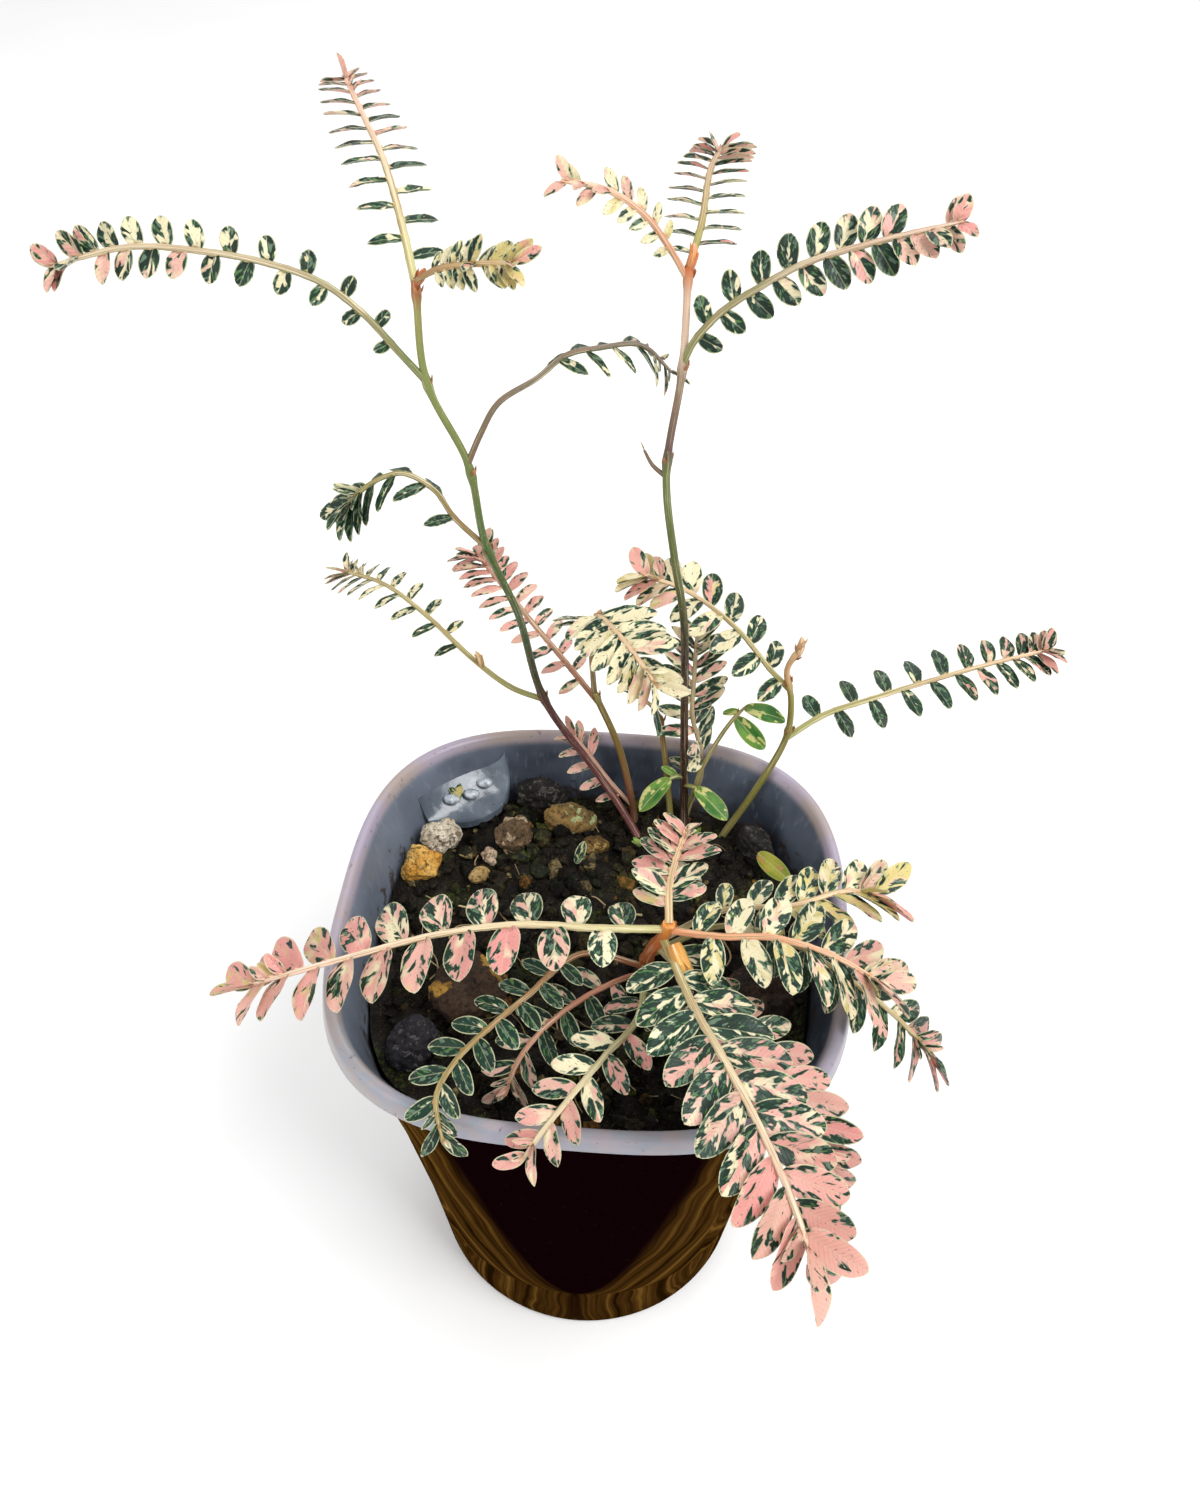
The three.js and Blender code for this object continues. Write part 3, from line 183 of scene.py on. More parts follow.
# Fronds: name, stem and rib path from the stem outward, number of leaflets, bare part of the
# rib, crowding toward the tip, leaflet length near the stem, halfway and at the tip, width as a
# part of length, lean from the rib near and far, the way the flat side faces near and far (x and
# y beside a z of 1), droop, turn, side of the first leaflet, rib radius near and far, then the
# share of green, pink and yellow near and far, the share of plain green leaflets, and the rib's
# tones near and far.
FRONDS = [
    frond("a1", "a", [(-40, 53, 233), (-45, 52, 240), (-51, 50, 249), (-58, 48, 256),
          (-68, 45, 261), (-79, 42, 264), (-90, 38, 266), (-105, 35, 263)], count=32, bare=0.14,
          crowd=2.1, leaf=(3.9, 6.2, 4.8), ratio=0.66, sweep=(82, 42), face=((0, -1.5), (0, -0.7)),
          rib=(0.75, 0.5), green=(0.74, 0.34), pink=(0.1, 0.8), yellow=(0.15, 0.1), plain=0.15,
          tones=(0x64763c, 0xd2bea0)),
    frond("a2", "a", [(-41, 55, 253), (-45, 66, 260), (-51, 82, 266), (-58, 98, 269),
          (-65, 112, 273)], count=24, bare=0.1, crowd=1.7, leaf=(7.5, 8.8, 5.5), ratio=0.4,
          sweep=(84, 45), face=((0, 0.05), (0, 0)), turn=10, first=-1, rib=(0.85, 0.5),
          green=(0.84, 0.3), pink=(0.15, 0.9), yellow=(0.1, 0.05), plain=0.1,
          tones=(0xb8ba7c, 0xdfb9a8)),
    frond("a3", "a", [(-40, 53, 255), (-35, 50, 259), (-28, 46, 262), (-19, 41, 265)], count=22,
          bare=0.25, crowd=1.35, leaf=(4, 6.5, 6), ratio=0.42, sweep=(65, 32),
          face=((0, -1), (0, -0.8)), turn=26, rib=(0.65, 0.5), green=(0.5, 0.26), pink=(0.1, 0.75),
          yellow=(0.45, 0.75), plain=0.0, tones=(0x8f6a38, 0xc9b080)),
    frond("a4", "a", [(-31, 51, 215), (-29, 52, 222), (-25, 53, 229), (-17, 55, 234),
          (-11, 56, 239), (-4, 58, 240), (4, 60, 240), (11, 62, 233)], count=14, bare=0.48,
          crowd=1.3, leaf=(7.5, 7.5, 5.5), ratio=0.36, sweep=(55, 35), face=((0, -0.1), (0, -0.1)),
          hang=28, rib=(0.75, 0.5), green=(0.86, 0.62), pink=(0.25, 0.6), yellow=(0.05, 0.05),
          plain=0.25, tones=(0x6a5a44, 0x7c7468)),
    frond("a5", "a", [(-16, 48, 150), (-25, 53, 149), (-36, 61, 151), (-49, 71, 156),
          (-61, 79, 159), (-73, 86, 157)], count=22, bare=0.42, crowd=2.2, leaf=(6.8, 8.2, 6),
          ratio=0.4, sweep=(80, 40), face=((0, -0.1), (0, -0.1)), rib=(0.8, 0.5),
          green=(0.72, 0.34), pink=(0.15, 0.4), yellow=(0.2, 0.45), plain=0.2,
          tones=(0x7f8440, 0xc9b98a)),
    frond("a6", "a", [(-29, 50, 194), (-36, 51, 201), (-40, 52, 207), (-47, 52, 211),
          (-54, 50, 209), (-58, 47, 206)], count=16, bare=0.26, crowd=2.8, leaf=(8, 10.5, 10),
          ratio=0.36, sweep=(60, 26), face=((0, 0.1), (0, -0.3)), hang=30, rib=(0.75, 0.5),
          green=(0.9, 0.72), pink=(0.1, 0.1), yellow=(0.35, 0.35), plain=0.45,
          tones=(0x7a6238, 0x8f8a52)),
    frond("b1", "b", [(-2.6, 53.6, 144.6), (-14, 60.6, 155), (-21, 66, 160), (-28, 72, 165),
          (-36, 78, 171)], count=30, bare=0.16, crowd=2, leaf=(7.5, 9.5, 7.5), ratio=0.34,
          sweep=(82, 50), face=((0.1, 0), (0, 0)), turn=16, rib=(0.85, 0.55), green=(0.42, 0.36),
          pink=(0.7, 0.9), yellow=(0.1, 0.05), plain=0.05, tones=(0x9a6a48, 0xdea79a)),
    frond("b2", "b", [(-4, 54, 148), (-4.6, 51.6, 164), (-3, 46, 179), (4, 36, 180),
          (12, 27, 175)], count=24, bare=0.42, crowd=1.2, leaf=(10.5, 11.5, 8), ratio=0.38,
          sweep=(75, 32), turn=22, rib=(0.75, 0.5), green=(0.6, 0.26), pink=(0.12, 0.42),
          yellow=(0.15, 0.38), plain=0.1, tones=(0x7d6a40, 0xdcbe9a)),
    frond("b3", "b", [(7.4, 46.4, 115), (2, 47.6, 121), (-4, 49.5, 129), (-9, 51.5, 135)],
          count=10, bare=0.2, crowd=1.3, leaf=(7, 8, 6), ratio=0.34, sweep=(75, 45), turn=20,
          rib=(0.65, 0.5), green=(0.42, 0.36), pink=(0.8, 0.9), yellow=(0.05, 0.05), plain=0.05,
          tones=(0x9a7458, 0xd3a092)),
    frond("c1", "c", [(13, 52, 240), (15, 51, 246), (20, 50, 253), (27, 49, 259), (35, 47, 265),
          (46, 45, 270), (61, 42, 276)], count=30, bare=0.12, crowd=1.9, leaf=(5.6, 7.2, 3.8),
          ratio=0.62, sweep=(75, 45), face=((0, -1.3), (0, -0.8)), first=-1, rib=(0.75, 0.5),
          green=(0.8, 0.28), pink=(0.2, 0.85), yellow=(0.1, 0.05), plain=0.1,
          tones=(0x70803e, 0xdcc0ac)),
    frond("c2", "c", [(12.4, 53.4, 257.5), (9, 53, 264), (4, 51, 271), (-3, 49, 276),
          (-11, 47, 278)], count=22, bare=0.22, crowd=1.6, leaf=(3.8, 5.4, 5), ratio=0.46,
          sweep=(65, 32), face=((0, -0.8), (0, -0.8)), rib=(0.65, 0.5), green=(0.4, 0.16),
          pink=(0.15, 0.8), yellow=(0.4, 0.3), plain=0.0, tones=(0xcf9a78, 0xe6c0a4)),
    frond("c3", "c", [(13.6, 55, 261), (15, 62, 265), (16, 72, 271), (18, 80, 273)], count=22,
          bare=0.1, crowd=1.5, leaf=(8, 8, 7.5), ratio=0.34, sweep=(80, 55),
          face=((0, 0.36), (0, 0.36)), turn=38, rib=(0.7, 0.5), green=(0.62, 0.45),
          pink=(0.4, 0.7), yellow=(0.05, 0.05), plain=0.0, tones=(0x9aa64e, 0xc4a18e)),
    frond("d1", "d", [(46, 50, 140), (54, 54, 145), (66, 59, 147), (81, 65, 149), (95, 70, 151),
          (111, 74, 154)], count=26, bare=0.13, crowd=2.1, leaf=(8, 8.8, 6), ratio=0.54,
          sweep=(88, 45), face=((0, -0.3), (0, -0.2)), rib=(0.8, 0.5), green=(1.05, 0.32),
          pink=(0.2, 0.75), yellow=(0.1, 0.15), plain=0.35, tones=(0x99a25c, 0xe2c1a2)),
    frond("d2", "d", [(44, 51, 155), (39, 53, 160), (30, 57, 169), (18, 61, 176), (7, 64, 178)],
          count=20, bare=0.08, crowd=1.9, leaf=(9, 10.5, 8), ratio=0.5, sweep=(80, 40),
          face=((0.3, -0.3), (0, -0.2)), rib=(0.75, 0.5), green=(0.66, 0.22), pink=(0.2, 0.55),
          yellow=(0.25, 0.45), plain=0.1, tones=(0x9c985c, 0xe0c4a0)),
    frond("d3", "c", [(20.7, 43, 118.5), (22.8, 44.6, 124), (24, 46.2, 129.5), (27.3, 49, 137),
          (30.8, 50, 144.5), (34, 52, 148)], count=3, bare=0.9, crowd=1, leaf=(11.5, 5, 12),
          ratio=0.42, sweep=(99, 200), face=((0, -0.5), (0, -0.5)), hang=26, turn=8, first=-1,
          rib=(0.65, 0.5), green=(0.95, 0.85), pink=(0.05, 0.05), yellow=(0.7, 0.8), plain=0.1,
          tones=(0x7d7a44, 0x8f8a52)),
    frond("e1", "c", [(21, 42, 114.5), (22.5, 46.5, 119), (24.5, 48.6, 125.6), (23.4, 49.4, 136.4),
          (21, 51.5, 144.6), (20.8, 54.5, 153.5), (20.7, 60, 164)], count=22, bare=0.3, crowd=1.2,
          leaf=(9, 10, 7), ratio=0.36, sweep=(72, 40), turn=22, rib=(0.65, 0.5), green=(0.6, 0.45),
          pink=(0.35, 0.5), yellow=(0.15, 0.15), plain=0.05, tones=(0x7a6e44, 0xb8a584)),
    frond("e2", "e", [(13, 53, 142), (10, 50, 149), (5, 47, 155)], count=3, bare=0.35, crowd=1,
          leaf=(9, 8, 4), ratio=0.36, sweep=(80, 45), rib=(0.65, 0.5), green=(1.0, 0.8),
          pink=(0.05, 0.1), yellow=(0.4, 0.4), plain=0.5, tones=(0x7a7040, 0x9a8a58)),
    frond("e3", "c", [(20, 45.4, 129), (18.3, 44, 130), (16.4, 42.8, 130.2)], count=2, bare=0.55,
          crowd=1, leaf=(5, 8, 11.5), ratio=0.46, sweep=(60, 90),
          face=((-0.3, -0.8), (-0.3, -0.8)), hang=30, turn=8, first=-1, rib=(0.6, 0.5),
          green=(0.98, 0.9), pink=(0.05, 0.05), yellow=(0.9, 0.9), plain=0.0,
          tones=(0x5f7a34, 0x7f9040)),
    frond("e4", "c", [(20.3, 44.6, 126), (21.6, 42.9, 127.8), (23.2, 41.6, 128.6)], count=2,
          bare=0.5, crowd=1, leaf=(4.5, 8, 11.5), ratio=0.46, sweep=(115, 90),
          face=((0.3, -0.8), (0.3, -0.8)), hang=32, turn=8, rib=(0.6, 0.5), green=(0.95, 0.85),
          pink=(0.05, 0.05), yellow=(0.9, 0.9), plain=0.0, tones=(0x6a7a38, 0x7f9040)),
    frond("f1", "f", [(17, -23.4, 153), (3, -26, 155), (-13, -28, 157), (-29, -31, 156),
          (-49, -37, 153), (-67, -42, 149)], count=22, bare=0.1, crowd=1.35, leaf=(9.4, 12.3, 9),
          ratio=0.62, sweep=(88, 46), face=((0, 0.1), (0, 0)), first=-1, rib=(0.9, 0.55),
          green=(0.56, 0.16), pink=(0.45, 0.85), yellow=(0.15, 0.35), plain=0.0,
          tones=(0xb9b87c, 0xe6c9b6)),
    frond("f2", "f", [(17.4, -23.6, 155), (17, -17, 158), (18, -11, 160), (20, -4, 162)], count=16,
          bare=0.2, crowd=1, leaf=(8, 10, 6), ratio=0.5, sweep=(70, 60), rib=(0.85, 0.5),
          green=(0.46, 0.34), pink=(0.4, 0.6), yellow=(0.3, 0.3), plain=0.0,
          tones=(0xc4a878, 0xe0bb9a)),
    frond("f3", "f", [(17, -23.4, 152.6), (28, -26, 155), (39, -27, 157), (51, -29, 155),
          (61, -32, 151)], count=16, bare=0.14, crowd=1.4, leaf=(10.5, 13.5, 10), ratio=0.46,
          sweep=(80, 30), rib=(0.85, 0.5), green=(0.58, 0.38), pink=(0.15, 0.6),
          yellow=(0.4, 0.45), plain=0.05, tones=(0xd0875a, 0xe2b898)),
    frond("f4", "f", [(15.8, -22.4, 148), (29, -15, 150), (43, -15, 153), (54, -11, 154),
          (62, -9, 152)], count=16, bare=0.3, crowd=1.3, leaf=(8.5, 11.5, 11), ratio=0.46,
          sweep=(70, 32), rib=(0.75, 0.5), green=(0.56, 0.3), pink=(0.1, 0.55), yellow=(0.45, 0.6),
          plain=0.05, tones=(0xb8ae7c, 0xe0bf9c)),
    frond("f5", "f", [(15, -17, 140), (29, -13, 142), (43, -15, 141), (57, -21, 137),
          (68, -27, 132), (76, -31, 125)], count=18, bare=0.35, crowd=1.4, leaf=(9, 10.5, 9),
          ratio=0.5, sweep=(75, 34), hang=16, rib=(0.75, 0.5), green=(0.92, 0.52),
          pink=(0.25, 0.85), yellow=(0.05, 0.05), plain=0.25, tones=(0x8a8a4c, 0xc2b083)),
    frond("f6", "f", [(16.2, -22.8, 149.4), (23, -43, 154), (29, -56, 156), (36, -69, 154),
          (42, -80, 149), (46, -89, 144)], count=24, bare=0.08, crowd=1.2, leaf=(11, 14.5, 11.5),
          ratio=0.5, sweep=(74, 30), rib=(0.9, 0.55), green=(0.8, 0.2), pink=(0.2, 1.0),
          yellow=(0.25, 0.05), plain=0.05, tones=(0x9a9450, 0xe2c8b0)),
    frond("f7", "f", [(15.2, -22, 145.4), (29, -35, 142), (36, -42, 141), (42, -49, 139),
          (48, -58, 136), (52, -64, 131)], count=18, bare=0.25, crowd=1.15, leaf=(9, 11.5, 9),
          ratio=0.48, sweep=(72, 32), rib=(0.8, 0.5), green=(0.52, 0.26), pink=(0.6, 0.9),
          yellow=(0.15, 0.05), plain=0.05, tones=(0xa8986c, 0xd8c09c)),
    frond("f8", "f", [(13.4, -20, 135), (12, -36, 138), (6, -46, 139), (0, -55, 138),
          (-5, -62, 136), (-9, -67, 132)], count=17, bare=0.16, crowd=1.15, leaf=(8, 9.5, 7),
          ratio=0.46, sweep=(72, 30), rib=(0.75, 0.5), green=(0.62, 0.3), pink=(0.45, 0.75),
          yellow=(0.15, 0.1), plain=0.1, tones=(0x98a060, 0xd0c0a0)),
    frond("f9", "f", [(12.4, -17.5, 132), (-1, -17, 134), (-12, -31, 136), (-18, -40, 138),
          (-24, -49, 138.4), (-27, -57, 137), (-25, -63.5, 131)], count=18, bare=0.28, crowd=1.2,
          leaf=(7, 8.2, 7), ratio=0.48, sweep=(80, 32), rib=(0.75, 0.5), green=(1.15, 0.72),
          pink=(0.1, 0.35), yellow=(0.15, 0.15), plain=0.8, tones=(0x8a4e34, 0xa8945c)),
    frond("f10", "f", [(12.4, -16.6, 127), (9, -19, 129), (0, -26, 130), (-8, -34, 129),
          (-13, -41, 126), (-15, -46, 121)], count=13, bare=0.2, crowd=1.15, leaf=(8, 9, 7),
          ratio=0.42, sweep=(78, 36), rib=(0.7, 0.5), green=(0.66, 0.38), pink=(0.45, 0.75),
          yellow=(0.05, 0.05), plain=0.1, tones=(0xa85f44, 0xc89a80)),
    frond("f11", "f", [(14, -16, 122.5), (19, -23, 125), (26, -31, 126), (33, -41, 124)], count=12,
          bare=0.2, crowd=1.1, leaf=(8, 8.5, 7), ratio=0.46, sweep=(75, 40), rib=(0.7, 0.5),
          green=(0.8, 0.6), pink=(0.25, 0.35), yellow=(0.2, 0.2), plain=0.25,
          tones=(0x9a7a4c, 0xb09a6c)),
]

# Fronds of plain fresh leaves, and those that the record counts as green foliage.
FRESH = {"e3", "e4", "d3"}
GREEN_SLOT = {"e1", "e2", "e3", "e4", "d3"}

# How leaflets are set along a rib, bent aside where they would meet something, and tested.
ARCH = 0.055
TIP_PART = 0.985
SWEEP_POWER = 1.5
TIP_STRAIGHTEN = 0.3
PITCH_LEAST = 0.98
SMALL_LEAF = 12
OUTLINE = [(0, 0), (0.14, 0.3), (0.4, 0.5), (0.76, 0.4), (1, 0)]
SMALL_OUTLINE = [(0, 0), (0.28, 0.46), (0.72, 0.42), (1, 0)]
LEAN_RANDOM = 8
HANG_RANDOM = 8
TURN_GAIN = 22
BENDS = [(0, 0), (14, 0), (-14, 0), (28, 0), (-28, 0), (12, 14), (-12, 14), (12, -14),
         (-12, -14), (42, 0), (-42, 0), (28, -20), (-28, -20), (56, 0), (-56, 0)]
LEAF_CLEAR = 1.0
SISTER_CLEAR = 0.74
LEAF_MARGIN = 0.5
RIB_CLEAR = 0.85
NEAR_ROD = 4
NEAR_LEAF = 2
SPOT_STEP = 1.2
TEST_ALONG = (0.16, 0.3, 0.44, 0.58, 0.72, 0.86, 1)
TEST_ACROSS = (-1, -0.5, 0, 0.5, 1)
SPAN_STEPS = 16
FRAME_STEP = 0.01

# What leaflets stay clear of: the rim, the band of the wall, the soil and the stones, by their
# middles and half lengths.
ABOVE_RIM = 1.2
WALL_BAND = (52.5, 61.8)
ABOVE_SOIL = 4
STONE_GROWTH = 1.1
ROUND_STONE = (2, 2, 1.5)
STONE_ROOM = [
    ((-41.5, 30.5, 116), (5.4, 4.0, 4.2)), ((-45, 21.5, 115), (4.6, 4.8, 4.4)),
    ((-22.5, 33.5, 115.4), (5.2, 4.4, 4.8)), ((-9, 40.2, 115.5), (7.2, 3.8, 4.2)),
    ((-30, 20.2, 113.6), (2.8, 2.2, 2.0)), ((-28.6, 27.4, 113.6), (1.9, 3.2, 1.9)),
    ((-1.8, 32.6, 113.8), (3.4, 2.6, 2.4)), ((-17.5, 46.8, 117), (6.8, 2.8, 5.6)),
    ((39.4, 35.0, 115), (3.6, 6.2, 6.0)), ((39.4, -13, 113.5), (8.4, 11.0, 7.0)),
    ((-28, -14.5, 114), (9.0, 9.2, 6.2)), ((-38.6, -29.8, 113), (6.0, 7.2, 5.2)),
]

# The finer leaflets: places along and across a blade, its thickness in the middle and at its edge,
# its least width at each end, the powers of its outline, its fold along the midrib, its waves,
# bow and curl, the grooves above and below the midrib, then how its colours vary.
LEAF_ALONG = (0, 0.02, 0.05, 0.1, 0.17, 0.26, 0.36, 0.47, 0.58, 0.68, 0.78, 0.86, 0.93, 0.975, 1)
LEAF_ACROSS = (-1, -0.68, -0.34, 0, 0.34, 0.68, 1)
LEAF_THICK = 0.34
EDGE_THICK = 0.08
STALK_HALF = 0.2
TIP_HALF = 0.03
OUTLINE_POWER = (0.48, 0.12)
FOLD = 0.24
WAVE = 0.016
WAVES = 1.6
WAVE_PHASES = 6.28
BOW = 0.06
CURL = 0.05
RIB_GROOVE = (0.07, 0.12)
LEAF_SEED = 3.7
TIP_MARGIN = 0.7
GREEN_RANDOM = 0.24
PALE_RANDOM = 0.4
PLAIN_GREEN = 1.3
PLAIN_FADE = 1.5

# The ribs: how much thicker than the solid's, the swelling at each leaflet and the thin tip.
RIB_SIDES = 10
RIB_STATION = 1.1
RIB_GROWTH = 1.05
RIB_SWELL = (0.12, 0.7)
RIB_TIP = (0.9, 0.45)
RIB_FLAT = 0.86

# The smallest leaflets, crowded and folded at a frond's tip. Pairs are a value and its gain.
YOUNG_COUNT = 9
YOUNG_SHARE = (0.86, 0.14)
YOUNG_PART = (0.9, 0.095)
YOUNG_LAST = 0.992
YOUNG_SLIM = 0.8
YOUNG_CLEAR = 0.3
YOUNG_FOLD = 1.8
YOUNG_LEAN = (48, 40, 10)
YOUNG_LENGTH = (0.66, 0.34)
YOUNG_HANGS = (-16, -28, 20, 34, -44)
YOUNG_TURN = 30

# Scales such as stipules: each row is a part of the length and a share of the width.
SCALE_ROWS = ((0, 0.7), (0.3, 1), (0.7, 0.6), (1, 0.08))
SCALE_BOW = 0.12
SCALE_FLAT = 0.45
STIPULE_SIZE = (1.1, 0.5)
STIPULE_TURNS = (0.5, -0.3)
STIPULE_SHADE = (1.0, 0.8, 0.7, 1)


# A fixed share from 0 to 1 for three numbers, so that every run draws the same.
def random01(a, b, c):
    value = math.sin(a * 12.9898 + b * 78.233 + c * 37.719) * 43758.5453
    return value - math.floor(value)


def unit(v):
    return v / np.linalg.norm(v)


# A smooth centripetal curve through points, as closely spaced points with their distances.
def trace_path(path):
    knots = [np.array(p, float) for p in path]
    knots = [2 * knots[0] - knots[1], *knots, 2 * knots[-1] - knots[-2]]
    points = []
    for span in range(len(path) - 1):
        p0, p1, p2, p3 = knots[span:span + 4]
        d0, d1, d2 = [np.dot(b - a, b - a) ** 0.25 for a, b in ((p0, p1), (p1, p2), (p2, p3))]
        t1 = ((p1 - p0) / d0 - (p2 - p0) / (d0 + d1) + (p2 - p1) / d1) * d1
        t2 = ((p2 - p1) / d1 - (p3 - p1) / (d1 + d2) + (p3 - p2) / d2) * d1
        c2 = -3 * p1 + 3 * p2 - 2 * t1 - t2
        c3 = 2 * p1 - 2 * p2 + t1 + t2
        for step in range(SPAN_STEPS):
            t = step / SPAN_STEPS
            points.append(p1 + t1 * t + c2 * t * t + c3 * t * t * t)
    points.append(np.array(path[-1], float))
    points = np.array(points)
    steps = np.linalg.norm(np.diff(points, axis=0), axis=1)
    lengths = np.concatenate([[0], np.cumsum(steps)])
    return {"points": points, "lengths": lengths, "total": lengths[-1]}


def point_at(trace, distance):
    wanted = min(max(distance, 0), trace["total"])
    return np.array([np.interp(wanted, trace["lengths"], trace["points"][:, k]) for k in range(3)])


def direction_at(trace, distance):
    step = FRAME_STEP * trace["total"]
    return unit(point_at(trace, distance + step) - point_at(trace, distance - step))


# Where a rib leaves its stem: the stem's point nearest to a place.
def nearest_on(trace, place):
    away = np.linalg.norm(trace["points"] - np.array(place, float), axis=1)
    return tuple(trace["points"][int(np.argmin(away))])


# Half the width at a part of the length, by the solid's plain outline.
def plain_half(part, width, small):
    rows = SMALL_OUTLINE if small else OUTLINE
    return width * np.interp(part, [r[0] for r in rows], [r[1] for r in rows])


# The way the flat side of a frond faces, square to its rib.
def face_at(frond, rib, u):
    near, far = frond["face"]
    up = np.array([near[0] + (far[0] - near[0]) * u, near[1] + (far[1] - near[1]) * u, 1.0])
    return unit(up - np.dot(up, rib) * rib)


# How high a blade arches at a part of its length.
def arch_at(part, length):
    return ARCH * length * 4 * part * (1 - part)


# One leaflet: where it joins the rib, its own axes, its length and its width.
def leaflet_at(frond, number, i, bend):
    count = frond["count"]
    u = i / (count - 1)
    spread = 1 - (1 - u) ** frond["crowd"]
    part = min(frond["bare"] + (1 - frond["bare"]) * spread, TIP_PART)
    side = frond["first"] * (1 if i % 2 == 0 else -1)
    sweep = frond["sweep"]
    lean = sweep[0] + (sweep[1] - sweep[0]) * u ** SWEEP_POWER
    lean += LEAN_RANDOM * (random01(i, number, 0) - 0.5) + bend[1]
    if i == count - 1:
        lean *= TIP_STRAIGHTEN
    hang = frond["hang"] + HANG_RANDOM * (random01(i, number, 3) - 0.5) + bend[0]
    turn = (frond["turn"] + TURN_GAIN * u) * side
    l0, l1, l2 = frond["leaf"]
    length = l0 * (1 - u) * (1 - 2 * u) + l1 * 4 * u * (1 - u) + l2 * u * (2 * u - 1)
    return leaf_from(frond, u, part, side, (lean, hang, turn), length)


# A leaflet from its place on the rib, its side, its angles and its length.
def leaf_from(frond, u, part, side, angles, length):
    lean, hang, turn = [math.radians(a) for a in angles]
    distance = part * frond["trace"]["total"]
    rib = direction_at(frond["trace"], distance)
    up = face_at(frond, rib, u)
    beside = np.cross(up, rib)
    flat = rib * math.cos(lean) + beside * side * math.sin(lean)
    across = np.cross(up, flat)
    along = flat * math.cos(hang) - up * math.sin(hang)
    normal = np.cross(along, across)
    turned = across * math.cos(turn) + normal * math.sin(turn)
    normal = normal * math.cos(turn) - across * math.sin(turn)
    return {"root": point_at(frond["trace"], distance), "along": along, "across": turned,
            "normal": normal, "length": length, "width": length * frond["ratio"],
            "small": length < SMALL_LEAF, "part": part, "side": side, "u": u}


# Points spread over a leaflet, by which it is tested against what is near.
def test_points(leaf):
    a = np.repeat(TEST_ALONG, len(TEST_ACROSS))
    b = np.tile(TEST_ACROSS, len(TEST_ALONG)) * plain_half(a, leaf["width"], leaf["small"])
    lift = arch_at(a, leaf["length"])
    return (leaf["root"] + np.outer(a * leaf["length"], leaf["along"])
            + np.outer(b, leaf["across"]) + np.outer(lift, leaf["normal"]))


# Whether any point lies within a clearance of a leaflet's face.
def points_near_leaf(points, leaf, clear):
    offset = points - leaf["root"]
    a = offset @ leaf["along"]
    part = np.clip(a / leaf["length"], 0, 1)
    beside = np.abs(offset @ leaf["across"])
    half = plain_half(part, leaf["width"], leaf["small"]) + LEAF_MARGIN
    above = np.abs(offset @ leaf["normal"] - arch_at(part, leaf["length"]))
    inside = (a >= -LEAF_MARGIN) & (a <= leaf["length"] + LEAF_MARGIN)
    return bool(np.any(inside & (beside <= half) & (above < clear)))


# Whether any point is inside or too near the pot's wall, the soil or a stone.
def meets_pot(points):
    low = points[points[:, 2] <= POT_HEIGHT + ABOVE_RIM]
    if not len(low):
        return False
    reach = (np.abs(low[:, 0]) ** 3 + np.abs(low[:, 1]) ** 3) ** (1 / 3)
    if np.any((reach > WALL_BAND[0]) & (reach < WALL_BAND[1])):
        return True
    low = low[reach <= WALL_BAND[1]]
    if np.any(low[:, 2] < SOIL_TOP + ABOVE_SOIL):
        return True
    for middle, half in STONE_ROOM:
        room = np.array([h * STONE_GROWTH + more for h, more in zip(half, ROUND_STONE)])
        if len(low) and np.any((((low - middle) / room) ** 2).sum(axis=1) < 1):
            return True
    return False


# The value at a part of the way from a near one to a far one.
def near_far(pair, u):
    return pair[0] + (pair[1] - pair[0]) * u


# Even parts of one, with both ends.
def even(count):
    return [i / count for i in range(count + 1)]


# Spots along a rod with its radius at each, for the same tests.
def rod_spots(trace, radii):
    shares = even(math.ceil(trace["total"] / SPOT_STEP))
    middles = np.array([point_at(trace, trace["total"] * s) for s in shares])
    return middles, near_far(radii, np.array(shares))


# Whether a leaflet clears the pot, the rods and the leaflets placed so far, by the usual
# clearances or by one slimmer than those.
def leaf_is_clear(leaf, number, placed, rods, slim=None):
    points = test_points(leaf)
    if meets_pot(points):
        return False
    middles, radii, owners = rods
    away = np.linalg.norm(middles - leaf["root"], axis=1)
    near = (owners != number) & (away <= leaf["length"] + NEAR_ROD)
    if np.any(near):
        gaps = np.linalg.norm(points[:, None] - middles[None, near], axis=2)
        if np.any(gaps < radii[near] + (RIB_CLEAR if slim is None else slim)):
            return False
    for other in placed:
        apart = np.linalg.norm(other["leaf"]["root"] - leaf["root"])
        if apart > other["leaf"]["length"] + leaf["length"] + NEAR_LEAF:
            continue
        clear = SISTER_CLEAR if other["number"] == number else LEAF_CLEAR
        if slim is not None:
            clear = slim
        if points_near_leaf(points, other["leaf"], clear):
            return False
        if points_near_leaf(other["points"], leaf, clear):
            return False
    return True


# The first leaflet of several tries that clears all that is near, kept among those placed.
def first_clear(tries, number, placed, rods, slim=None):
    for leaf in tries:
        if leaf_is_clear(leaf, number, placed, rods, slim):
            placed.append({"number": number, "leaf": leaf, "points": test_points(leaf)})
            return [leaf]
    return []


# One leaflet in each of its bends, in the order they are tried.
def bent_leaflets(frond, number, i):
    return (leaflet_at(frond, number, i, bend) for bend in BENDS)


